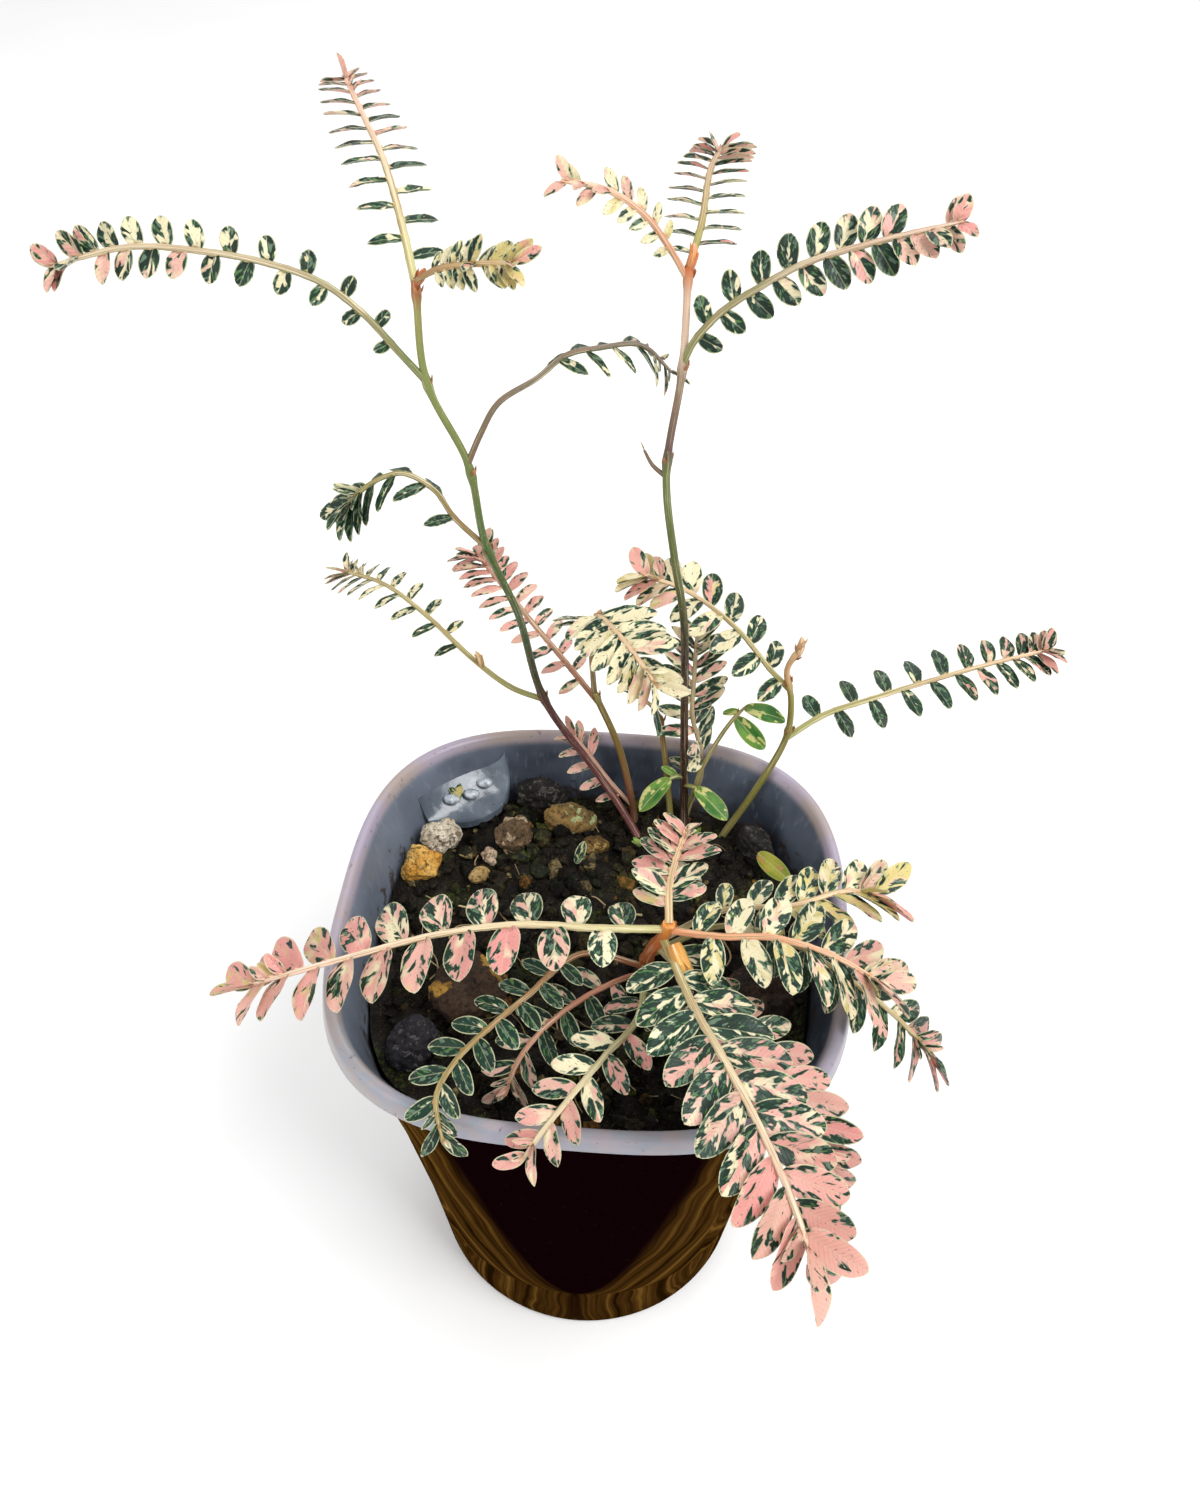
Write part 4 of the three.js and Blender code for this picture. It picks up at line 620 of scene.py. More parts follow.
# The solids' own leaflets. What finds no room there is tried again later with less clearance.
def place_leaflets():
    middles, radii, owners = [], [], []
    rods = [(-1, s["trace"], s["radius"]) for s in STEMS.values()]
    rods += [(n, f["trace"], f["rib"]) for n, f in enumerate(FRONDS)]
    for owner, trace, ends in rods:
        spots, spot_radii = rod_spots(trace, ends)
        middles.append(spots)
        radii.append(spot_radii)
        owners.append(np.full(len(spots), owner))
    rods = (np.concatenate(middles), np.concatenate(radii), np.concatenate(owners))
    placed = []
    for n, frond in enumerate(FRONDS):
        frond["leaflets"] = []
        frond["missed"] = []
        reached = 0
        for i in range(frond["count"]):
            distance = leaflet_at(frond, n, i, BENDS[0])["part"] * frond["trace"]["total"]
            found = []
            if distance - reached >= PITCH_LEAST:
                found = first_clear(bent_leaflets(frond, n, i), n, placed, rods)
            if found:
                frond["leaflets"] += found
                reached = distance
            else:
                frond["missed"].append(i)
    return placed, rods


# Mesh building

# What a mesh keeps for each point: a leaflet's own coordinates, its shares of green, pink and
# yellow with its chance, its distance from the margin, and a tone.
VALUE_SIZES = {"spot": 3, "mix": 4, "margin": 1, "tone": 4}
VALUE_KINDS = {1: "FLOAT", 3: "FLOAT_VECTOR", 4: "FLOAT_COLOR"}
VALUE_FIELDS = {1: "value", 3: "vector", 4: "color"}


class Parts:
    """Points, faces and point values gathered for one mesh."""

    def __init__(self):
        self.points = []
        self.faces = []
        self.slots = []
        self.values = {name: [] for name in VALUE_SIZES}
        self.count = 0

    def add(self, points, faces, slot=0, **values):
        points = np.asarray(points, float)
        self.points.append(points)
        self.faces.extend(tuple(i + self.count for i in face) for face in faces)
        self.slots.extend(slot if isinstance(slot, list) else [slot] * len(faces))
        for name, size in VALUE_SIZES.items():
            kept = values.get(name, np.zeros(size))
            self.values[name].append(np.broadcast_to(kept, (len(points), size)))
        self.count += len(points)

    def build(self, name, materials, sharp=50):
        mesh = bpy.data.meshes.new(name)
        points = np.concatenate(self.points) * MM
        mesh.from_pydata(points.tolist(), [], self.faces)
        for material in materials:
            mesh.materials.append(material)
        mesh.polygons.foreach_set("material_index", self.slots)
        for key, rows in self.values.items():
            data = np.concatenate(rows).astype(np.float32)
            if not np.any(data):
                continue
            size = VALUE_SIZES[key]
            attribute = mesh.attributes.new(key, VALUE_KINDS[size], "POINT")
            attribute.data.foreach_set(VALUE_FIELDS[size], data.ravel())
        mesh.shade_smooth()
        mesh.set_sharp_from_angle(angle=math.radians(sharp))
        mesh.update()
        made = bpy.data.objects.new(name, mesh)
        bpy.context.scene.collection.objects.link(made)
        return made


# Every piece rides on the root, and the nodes that it replaces are hidden.
def settle(piece, slot, *nodes):
    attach(piece, "root")
    if nodes:
        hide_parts(*nodes)
    return piece


# The linear colour of a tone written as an sRGB code.
def tone_of(code):
    parts = [((code >> shift) & 255) / 255 for shift in (16, 8, 0)]
    return np.array([p / 12.92 if p <= 0.04045 else ((p + 0.055) / 1.055) ** 2.4
                     for p in parts] + [1.0])


# The tone at a part of a length, between stops that each have a place and a tone.
def tone_along(stops, share):
    tones = np.array([tone_of(code) for _, code in stops])
    places = [place for place, _ in stops]
    return np.stack([np.interp(share, places, tones[:, k]) for k in range(4)], axis=-1)


# Faces between equal rings of points in order.
def ring_faces(rings, around):
    faces = []
    for r in range(rings - 1):
        for i in range(around):
            j = (i + 1) % around
            a = r * around
            faces.append((a + i, a + j, a + j + around, a + i + around))
    return faces


# The same, closed at both ends.
def loft_faces(rings, around):
    first = tuple(range(around))[::-1]
    last = tuple(range((rings - 1) * around, rings * around))
    return ring_faces(rings, around) + [first, last]


# A rod along a traced path. radius_at and tone_at give its size and its tone at a part of the
# length, up_at the way its flat side faces.
def add_rod(parts, trace, stations, sides, radius_at, tone_at, slot=0, up_at=None, flat=1.0,
            seed=0):
    rings, tones, spots = [], [], []
    across = np.array([0.3, -0.9, 0.2])
    angles = np.linspace(0, 2 * math.pi, sides, endpoint=False)
    for share in stations:
        distance = share * trace["total"]
        middle = point_at(trace, distance)
        along = direction_at(trace, distance)
        up = up_at(along, share) if up_at else across
        across = unit(up - np.dot(up, along) * along)
        other = np.cross(along, across)
        radius = radius_at(share)
        ring = (middle + np.outer(np.cos(angles), across) * radius * flat
                + np.outer(np.sin(angles), other) * radius)
        rings.append(ring)
        tones.append(np.tile(tone_at(share), (sides, 1)))
        spots.append(np.stack([np.full(sides, distance), np.sin(angles) * 3,
                               np.cos(angles) * 3 + seed], axis=1))
    parts.add(np.concatenate(rings), loft_faces(len(rings), sides), slot,
              tone=np.concatenate(tones), spot=np.concatenate(spots))


# Leaflets

# Half a leaflet's width as a part of its width, round at the root and pointed at the tip.
def blade_half(part):
    return 0.5 * (4 * part * (1 - part)) ** (OUTLINE_POWER[0] + OUTLINE_POWER[1] * part)


# A leaflet's blade: rings across it, each with an upper and a lower row of points.
def add_blade(parts, leaf, seed, mix, slot=0, fold=FOLD):
    length, width = leaf["length"], leaf["width"]
    row = [(q, 1) for q in LEAF_ACROSS] + [(q, -1) for q in LEAF_ACROSS[-2:0:-1]]
    q = np.array([r[0] for r in row])
    face = np.array([0 if abs(r[0]) == 1 else r[1] for r in row])
    phase = random01(seed, 3, 7) * WAVE_PHASES
    bow = (random01(seed, 5, 9) - 0.5) * BOW
    curl = (random01(seed, 6, 2) - 0.35) * CURL
    rings, spots, margins = [], [], []
    for part in LEAF_ALONG:
        half = max(blade_half(part) * width, STALK_HALF if part < 0.5 else TIP_HALF)
        thin = min(1, half)
        b = q * half
        lift = arch_at(part, length) + fold * (np.abs(b) - 0.5 * half)
        lift = lift + WAVE * length * np.sin(2 * math.pi * WAVES * part + phase + q) * q * q
        lift = lift - curl * length * part ** 3
        depth = EDGE_THICK + (LEAF_THICK - EDGE_THICK) * (1 - np.abs(q) ** 3)
        rise = face * depth * 0.5 * (0.4 + 0.6 * thin)
        rise = rise - np.where(q == 0, np.where(face > 0, *RIB_GROOVE), 0) * thin
        shift = bow * length * part * part
        rings.append(leaf["root"] + leaf["along"] * (part * length)
                     + np.outer(b + shift, leaf["across"])
                     + np.outer(lift + rise, leaf["normal"]))
        spots.append(np.stack([np.full(len(q), part * length), b,
                               np.full(len(q), seed * LEAF_SEED)], axis=1))
        margins.append(np.minimum((1 - np.abs(q)) * half, (1 - part) * length * TIP_MARGIN))
    parts.add(np.concatenate(rings), loft_faces(len(rings), len(q)), slot, mix=mix,
              spot=np.concatenate(spots), margin=np.concatenate(margins)[:, None])


# A leaflet's shares of green, pink and yellow, and a chance of its own.
def leaf_mix(frond, number, leaf, i):
    u = leaf["u"]
    green = near_far(frond["green"], u) + GREEN_RANDOM * (random01(i, number, 11) - 0.5)
    pink = near_far(frond["pink"], u) + PALE_RANDOM * (random01(i, number, 12) - 0.5)
    yellow = near_far(frond["yellow"], u) + PALE_RANDOM * (random01(i, number, 13) - 0.5)
    if random01(i, number, 14) < frond["plain"] * max(0, 1 - PLAIN_FADE * u):
        green = PLAIN_GREEN
    return (green, pink, yellow, random01(i, number, 15))


# One of the small folded leaflets at a frond's tip, at each of its droops.
def young_leaflet(frond, number, k):
    reached = (k + 1) / YOUNG_COUNT
    u = YOUNG_SHARE[0] + YOUNG_SHARE[1] * reached
    part = min(YOUNG_PART[0] + YOUNG_PART[1] * reached, YOUNG_LAST)
    side = 1 if k % 2 else -1
    near, less, random = YOUNG_LEAN
    lean = near - less * (k / YOUNG_COUNT) + random * random01(k, number, 21)
    length = frond["leaf"][2] * (YOUNG_LENGTH[0] - YOUNG_LENGTH[1] * k / YOUNG_COUNT)
    for hang in YOUNG_HANGS:
        leaf = leaf_from(frond, u, part, side, (lean, hang, YOUNG_TURN * side), length)
        leaf["width"] *= YOUNG_SLIM
        yield leaf


# Leaflets beside the solids' own: those that found no room there, then the young ones.
def extra_leaflets(frond, number, placed, rods):
    made = []
    for i in frond["missed"]:
        made += first_clear(bent_leaflets(frond, number, i), number, placed, rods, YOUNG_CLEAR)
    count = 0 if frond["name"] in FRESH else YOUNG_COUNT
    for k in range(count):
        made += first_clear(young_leaflet(frond, number, k), number, placed, rods, YOUNG_CLEAR)
    return made


# A pointed scale, such as a stipule or a bud's outer leaf.
def add_scale(parts, root, along, up, length, width, tone, slot=1):
    beside = unit(np.cross(along, up))
    above = np.cross(beside, along)
    rings, tones = [], []
    for part, share in SCALE_ROWS:
        half = width * share / 2
        flat = half * SCALE_FLAT
        middle = root + along * (part * length) + above * (SCALE_BOW * length * part * (1 - part))
        rings.append([middle + beside * half, middle + above * flat,
                      middle - beside * half, middle - above * flat])
        tones.extend([tone * (0.85 + 0.3 * part)] * 4)
    parts.add(np.concatenate(rings), loft_faces(len(rings), 4), slot, tone=np.array(tones),
              spot=np.full((len(tones), 3), length))


# A frond: its rib, its leaflets and two stipules at the root of each.
def build_frond(frond, number, placed, rods, leaf_material, stem_material):
    parts = Parts()
    trace = frond["trace"]
    ends = [tone_of(code) for code in frond["tones"]]

    def up_at(rib, share):
        return face_at(frond, rib, max(0, (share - frond["bare"]) / (1 - frond["bare"])))

    def radius_at(share):
        radius = near_far(frond["rib"], share) * RIB_GROWTH
        more, width = RIB_SWELL
        swell = sum(math.exp(-((share - leaf["part"]) * trace["total"] / width) ** 2)
                    for leaf in frond["leaflets"])
        last, less = RIB_TIP
        thin = 1 - less * max(0, share - last) / 0.1
        return radius * (1 + more * min(swell, 1)) * thin

    stations = even(max(12, round(trace["total"] / RIB_STATION)))
    add_rod(parts, trace, stations, RIB_SIDES, radius_at,
            lambda share: near_far(ends, share ** 0.8), 1, up_at, RIB_FLAT, number * 5.3)
    own = frond["leaflets"]
    for i, leaf in enumerate(own + extra_leaflets(frond, number, placed, rods)):
        fold = FOLD if i < len(own) else FOLD * YOUNG_FOLD
        add_blade(parts, leaf, number * 60 + i, leaf_mix(frond, number, leaf, i), 0, fold)
        stipule = near_far(ends, leaf["u"]) * np.array(STIPULE_SHADE)
        for turn in STIPULE_TURNS:
            reach = unit(leaf["along"] * 0.5 + direction_at(trace, leaf["part"] * trace["total"])
                         + leaf["normal"] * turn)
            start = leaf["root"] + leaf["along"] * 0.45 + leaf["normal"] * turn * 0.5
            add_scale(parts, start, reach, leaf["normal"], *STIPULE_SIZE, stipule)
    made = parts.build(f"frond_{frond['name']}_fine", [leaf_material, stem_material])
    settle(made, frond["slot"], f"frond_{frond['name']}")


def stem_radius(stem, share):
    narrow, low = JOINT_SLIM
    swell = sum(math.exp(-((share - joint) / (JOINT_REACH * narrow)) ** 2)
                for joint in stem["joints"])
    return near_far(stem["radius"], share) + JOINT_SWELL * low * min(1, swell)


# The short bare twig beside a stem, with a pointed end.
def add_twig(parts, path):
    twig = trace_path(path)
    add_rod(parts, twig, even(8), 8, lambda s: 0.6 - 0.3 * s, lambda s: tone_of(STEM.twig), 0,
            None, 1, 3)
    along = unit(np.array([-0.4, 0.1, 0.9]))
    add_scale(parts, twig["points"][-1], along, np.array([1.0, 0, 0]), 2.4, 0.9,
              tone_of(STEM.twig_end), 0)


# A stem with a few scales at each joint.
def build_stem(letter, stem, material):
    parts = Parts()
    trace = stem["trace"]
    add_rod(parts, trace, even(round(trace["total"] / STEM_STATION)), STEM_SIDES,
            lambda s: stem_radius(stem, s), lambda s: tone_along(stem["tones"], s), 0, None, 1,
            ord(letter))
    if "twig" in stem:
        add_twig(parts, stem["twig"])
    brown = tone_of(STEM.scale)
    for n, joint in enumerate(stem["joints"]):
        distance = joint * trace["total"]
        along = direction_at(trace, distance)
        side = unit(np.cross(along, np.array([0.2, 0.9, 0.3])))
        for k in range(JOINT_SCALES):
            angle = 2 * math.pi * (k / JOINT_SCALES + random01(n, k, 31))
            out = side * math.cos(angle) + np.cross(along, side) * math.sin(angle)
            start = point_at(trace, distance) + out * (stem_radius(stem, joint) * 0.75)
            add_scale(parts, start, unit(along + out * JOINT_SCALE_LEAN), out,
                      *JOINT_SCALE_SIZE, brown * (0.7 + 0.5 * random01(n, k, 32)), 0)
    made = parts.build(f"stem_{letter}_fine", [material])
    settle(made, "stem_bark", f"stem_{letter}")


# Pot

# A ring round the pot's axis, from round at a squareness of 2 to ever squarer.
def square_ring(half, height, squareness, around):
    angles = 2 * math.pi * (np.arange(around) + 0.5) / around
    c, s = np.cos(angles), np.sin(angles)
    x = np.sign(c) * np.abs(c) ** (2 / squareness) * half
    y = np.sign(s) * np.abs(s) ** (2 / squareness) * half
    return np.stack([x, y, np.full(around, float(height))], axis=1)


# Profile rows with others between them, no more than a step apart.
def filled_rows(rows, step=PROFILE_STEP):
    made = [rows[0]]
    for a, b in zip(rows, rows[1:]):
        count = max(1, math.ceil(math.dist(a[:2], b[:2]) / step))
        for k in range(1, count + 1):
            made.append(tuple(a[i] + (b[i] - a[i]) * k / count for i in range(3)))
    return made


# The pot's wall as one skin, in two materials; its rim is kept as a tone of 1.
def build_pot(outer_material, inner_material, shelf_material):
    outside = filled_rows(POT_OUTSIDE)
    inside = filled_rows(POT_INSIDE)
    rows = outside + POT_RIM + inside
    zones = [0.0] * len(outside) + [1.0] * RIM_EDGE_ROWS
    zones += [0.0] * (len(rows) - len(zones))
    points = np.concatenate([square_ring(*row, POT_AROUND) for row in rows])
    tones = np.repeat([[z, 0, 0, 1] for z in zones], POT_AROUND, axis=0)
    faces = loft_faces(len(rows), POT_AROUND)
    outer_count = (len(outside) - 1) * POT_AROUND
    slots = [0] * outer_count + [1] * (len(faces) - outer_count - 2) + [0, 1]
    parts = Parts()
    parts.add(points, faces, slots, tone=tones)
    settle(parts.build("pot_shell", [outer_material, inner_material], 60), "pot_plastic", "pot")
    build_shelf(shelf_material)


# The dished shelf in the pot's corner, from its edge up to the wall, with its lugs.
def build_shelf(shelf_material):
    shelf = Parts()
    edge_path = trace_path(SHELF_EDGE)
    rings = []
    for share in even(SHELF_STEPS[0]):
        edge = point_at(edge_path, share * edge_path["total"])
        reach = (abs(edge[0]) ** 3 + abs(edge[1]) ** 3) ** (1 / 3)
        wall = edge * (SHELF_WALL_REACH / reach)
        wall[2] = edge[2] + min(SHELF_RISE, POT_HEIGHT - SHELF_BELOW_RIM - edge[2])
        upper, lower = [], []
        for s in even(SHELF_STEPS[1]):
            dip = -SHELF_DIP * math.sin(math.pi * s) * (1 - 0.3 * s)
            lip = SHELF_LIP * math.exp(-(s / 0.08) ** 2)
            middle = edge + (wall - edge) * s
            upper.append(middle + np.array([0, 0, dip + lip]))
            lower.append(middle + np.array([0, 0, dip - SHELF_THICK]))
        rings.append(np.array(upper + lower[::-1]))
    shelf.add(np.concatenate(rings), loft_faces(len(rings), len(rings[0])), 0)
    for middle in LUGS:
        shelf.add(*bump_shape(middle, LUG_SIZE), 1)
    settle(shelf.build("pot_corner_shelf", [shelf_material, lug_material()]), "pot_plastic", "pot")


# A rounded lug as points and faces.
def bump_shape(middle, size):
    rows, around = 8, 16
    points = []
    for r in range(rows + 1):
        angle = math.pi * r / rows
        for i in range(around):
            turn = 2 * math.pi * i / around
            points.append([middle[0] + size[0] * math.sin(angle) * math.cos(turn),
                           middle[1] + size[1] * math.sin(angle) * math.sin(turn),
                           middle[2] - size[2] * 0.8 * math.cos(angle)])
    return np.array(points), ring_faces(rows + 1, around)


# Soil

# The solid's own surface, then the finer one laid on it.
def soil_height(x, y):
    waves = 1.5 * math.sin(x * 0.13 + 0.6) * math.cos(y * 0.11 - 0.4)
    waves += 0.9 * math.sin(x * 0.31 - y * 0.27 + 1.7) + 0.6 * math.cos(x * 0.52 + y * 0.44)
    return SOIL_TOP + waves


def soil_surface(x, y):
    place = Vector((x * 0.22, y * 0.22, 4))
    lumps = noise.fractal(place, 0.8, 2.1, 4) * SOIL_LUMPS
    grit = noise.noise(Vector((x * 1.3, y * 1.3, 9))) * SOIL_GRIT
    return soil_height(x, y) + lumps + grit


# A dented lump of soil.
def add_crumb(parts, middle, size, seed, tone):
    crystal = bmesh.new()
    bmesh.ops.create_icosphere(crystal, subdivisions=1, radius=1)
    points = []
    for n, vertex in enumerate(crystal.verts):
        dent = 0.7 + 0.6 * random01(n, seed, 41)
        points.append([middle[k] + vertex.co[k] * size[k] * dent for k in range(3)])
    faces = [tuple(v.index for v in face.verts) for face in crystal.faces]
    crystal.free()
    parts.add(np.array(points), faces, 0, tone=tone)


# The soil's rough surface and its side, then what lies on it.
def build_soil(material, root_material):
    parts = Parts()
    rings = []
    for r in range(1, SOIL_RINGS + 1):
        share = (r / SOIL_RINGS) ** SOIL_RING_POWER
        ring = square_ring(SOIL_EDGE[0] * share, 0, SOIL_EDGE[1], SOIL_AROUND)
        for p in ring:
            p[2] = soil_surface(p[0], p[1])
        rings.append(ring)
    for row in filled_rows(SOIL_WALL):
        rings.append(square_ring(*row, SOIL_AROUND))
    parts.add(np.concatenate(rings), loft_faces(len(rings), SOIL_AROUND), 0,
              tone=tone_of(SOIL.base))
    settle(parts.build("soil_bed", [material]), "potting_soil", "soil")
    build_crumbs(material)
    build_threads(root_material)


# Lumps of soil strewn over it, a few of them pale.
def build_crumbs(material):
    crumbs = Parts()
    least, more, power = CRUMB_SIZE
    for n in range(CRUMB_COUNT):
        reach = CRUMB_REACH * math.sqrt(random01(n, 1, 51))
        turn = 2 * math.pi * random01(n, 2, 51)
        x, y = reach * math.cos(turn), reach * math.sin(turn)
        size = least + more * random01(n, 3, 51) ** power
        tones = CRUMB_PALE if random01(n, 4, 51) < CRUMB_PALE_SHARE else CRUMB_TONES
        tone = tone_of(tones[int(random01(n, 5, 51) * len(tones))])
        sizes = [size * (0.7 + 0.6 * random01(n, k, 52)) for k in range(3)]
        add_crumb(crumbs, (x, y, soil_surface(x, y) + size * CRUMB_RISE), sizes, n, tone)
    settle(crumbs.build("soil_crumbs", [material], 30), "potting_soil")


# Fine dry roots that wander over the soil.
def build_threads(material):
    threads = Parts()
    for n in range(ROOT_COUNT):
        turn = 2 * math.pi * random01(n, 1, 61)
        reach = ROOT_REACH[0] * math.sqrt(random01(n, 2, 61))
        x, y = reach * math.cos(turn), reach * math.sin(turn)
        heading = 2 * math.pi * random01(n, 3, 61)
        path = []
        for k in range(6):
            path.append((x, y, soil_surface(x, y) + 0.5 + 0.9 * random01(n, k, 62)))
            heading += ROOT_BEND * (random01(n, k, 63) - 0.5)
            x += ROOT_STEP * math.cos(heading)
            y += ROOT_STEP * math.sin(heading)
            if math.hypot(x, y) > ROOT_REACH[1]:
                break
        if len(path) < 3:
            continue
        tone = tone_of(ROOT_TONES[n % len(ROOT_TONES)])
        size = ROOT_SIZE[0] + ROOT_SIZE[1] * random01(n, 4, 61)
        add_rod(threads, trace_path(path), even(24), 6, lambda s: size * (1 - 0.6 * s),
                lambda s: tone, 0, None, 1, n)
    settle(threads.build("soil_roots", [material]), "potting_soil")


# Stones: the solid's own corners, smoothed finely and roughened.
def build_stone(node, material):
    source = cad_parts[node]
    shape = bmesh.new()
    shape.from_mesh(source.data)
    bmesh.ops.remove_doubles(shape, verts=shape.verts, dist=1e-6)
    mesh = bpy.data.meshes.new(node + "_fine")
    shape.to_mesh(mesh)
    shape.free()
    made = bpy.data.objects.new(node + "_fine", mesh)
    bpy.context.scene.collection.objects.link(made)
    smooth = made.modifiers.new("smooth", "SUBSURF")
    smooth.levels = STONE_LEVELS
    smooth.render_levels = STONE_LEVELS
    graph = bpy.context.evaluated_depsgraph_get()
    finer = bpy.data.meshes.new_from_object(made.evaluated_get(graph))
    made.modifiers.clear()
    made.data = finer
    middle = sum((v.co for v in finer.vertices), Vector()) / len(finer.vertices)
    for vertex in finer.vertices:
        place = vertex.co / MM
        out = (vertex.co - middle).normalized()
        bumps = noise.fractal(place * 0.22, 0.9, 2.2, 5) * STONE_BUMPS
        chips = noise.noise(place * 0.9) * STONE_CHIPS
        vertex.co = middle + (vertex.co - middle) * STONE_SWELL + out * (bumps + chips) * MM
    finer.materials.clear()
    finer.materials.append(material)
    finer.shade_smooth()
    return made


# Materials

class Net:
    """The nodes of one material, added one after another."""

    def __init__(self, name, roughness=0.5, specular=0.4):
        self.material = bpy.data.materials.new(name)
        self.material.use_nodes = True
        self.tree = self.material.node_tree
        self.shader = self.tree.nodes["Principled BSDF"]
        self.set("Roughness", roughness)
        self.set("Specular IOR Level", specular)

    def set(self, socket, value):
        self.put(self.shader.inputs[socket], value)

    # A colour is given as an sRGB code.
    def put(self, socket, value):
        if isinstance(value, bpy.types.NodeSocket):
            self.tree.links.new(value, socket)
        elif socket.type == "RGBA":
            socket.default_value = tone_of(value)
        else:
            socket.default_value = value

    def put_all(self, sockets, values):
        for socket, value in zip(sockets, values):
            self.put(socket, value)

    def add(self, kind, **settings):
        node = self.tree.nodes.new("ShaderNode" + kind)
        for key, value in settings.items():
            setattr(node, key, value)
        return node

    def math(self, operation, *values):
        node = self.add("Math", operation=operation)
        self.put_all(node.inputs, values)
        return node.outputs[0]

    def plus(self, a, b):
        return self.math("ADD", a, b)

    def times(self, a, b):
        return self.math("MULTIPLY", a, b)

    # a * b + c
    def line(self, a, b, c):
        return self.math("MULTIPLY_ADD", a, b, c)

    def mix(self, share, a, b, kind="MIX"):
        node = self.add("Mix", data_type="RGBA", blend_type=kind)
        self.put_all((node.inputs[0], node.inputs[6], node.inputs[7]), (share, a, b))
        return node.outputs[2]

    # Goes smoothly from bottom to top while the value goes from low to high.
    def band(self, value, low, high, bottom=0.0, top=1.0):
        node = self.add("MapRange", interpolation_type="SMOOTHSTEP")
        self.put_all(node.inputs, (value, low, high, bottom, top))
        return node.outputs[0]

    # A colour with another laid over it, by a share at most, where the value goes past a band.
    def over(self, colour, laid, value, low, high, share=1.0):
        return self.mix(self.band(value, low, high, 0.0, share), colour, laid)

    def join(self, x, y, z):
        node = self.add("CombineXYZ")
        self.put_all(node.inputs, (x, y, z))
        return node.outputs[0]

    def split(self, vector):
        node = self.add("SeparateXYZ")
        self.put(node.inputs[0], vector)
        return node.outputs[0], node.outputs[1], node.outputs[2]

    def kept(self, name, output="Vector"):
        return self.add("Attribute", attribute_name=name).outputs[output]

    def noise(self, vector, scale=1.0, detail=2.0, roughness=0.5, bend=0.0):
        node = self.add("TexNoise")
        sockets = [node.inputs[key] for key in
                   ("Vector", "Scale", "Detail", "Roughness", "Distortion")]
        self.put_all(sockets, (vector, scale, detail, roughness, bend))
        return node.outputs["Fac"]

    def cells(self, vector, scale):
        node = self.add("TexVoronoi")
        self.put(node.inputs["Vector"], vector)
        node.inputs["Scale"].default_value = scale
        return node.outputs["Distance"]

    # Places in millimetres in the model's own frame.
    def place(self, stretch=(1, 1, 1)):
        node = self.add("VectorMath", operation="MULTIPLY")
        self.put(node.inputs[0], self.add("TexCoord").outputs["Object"])
        node.inputs[1].default_value = [s / MM for s in stretch]
        return node.outputs[0]

    def bump(self, height, strength, distance):
        node = self.add("Bump")
        self.put(node.inputs["Height"], height)
        node.inputs["Strength"].default_value = strength
        node.inputs["Distance"].default_value = distance * MM
        self.set("Normal", node.outputs[0])

    # Some of the light passes through, as through a leaf.
    def let_through(self, colour, share):
        glow = self.add("BsdfTranslucent")
        self.put(glow.inputs["Color"], colour)
        both = self.add("MixShader")
        both.inputs[0].default_value = share
        self.put(both.inputs[1], self.shader.outputs[0])
        self.put(both.inputs[2], glow.outputs[0])
        out = self.tree.nodes["Material Output"]
        self.put(out.inputs["Surface"], both.outputs[0])


# Tones of each material, as sRGB codes.
LEAF = Tones(dark=0x183c2c, deep=0x0e2a1c, mid=0x5f8f4a, grey=0x76927a, cream=0xf8ecc6,
             pink=0xf3c0b0, rose=0xea9f98, yellow=0xdccb84, speck=0x22382a, edge=0xdcdcb4,
             shade=0x8c8a70)
FRESH_LEAF = Tones(edge=0xa8b060, rib=0xb4c07c, vein=0x2a4a1c)
BARK = Tones(brown=0x9a6a50, olive=0x5f6a34, pale=0xf4e2c4, dots=0xc9b48c)
STEM = Tones(twig=0x6c5a48, twig_end=0x9a8468, scale=0xa9744c)
# The pot's brown, mid and light tones make the painted reflections on its outside; mid also tints
# its specks.
POT = Tones(panel=0x0d0204, brown=0x1c0f02, mid=0x3c260c, light=0x64481c, inside_low=0x323944,
            inside_high=0x5b6371, scratch=0x8a93a2, lit=0x848d9c, front=0x8d939e, rim=0xa096a6,
            rim_warm=0xa0928c, dirt=0x43362a)
SHELF = Tones(low=0x525c68, high=0x78838f, drip=0xb2bac2, dirt=0x41382e)
LUG = Tones(low=0x8a949e, high=0xc8ced2)
SOIL = Tones(base=0x1d1710, dark=0x080705, pale=0x6b5a38, moss=0x4c5a22)
ROCK = Tones(grain=0x14100c, pit=0x1a140e)
FLOOR = Tones(low=0xf4f4f4, high=0xfafafa)


# Side veins that slant forward from the middle of a leaf.
def veins(net, along, side, rate, low):
    slant = net.line(side, -0.8, along)
    return net.band(net.math("SINE", net.times(slant, rate)), low, 1.0)


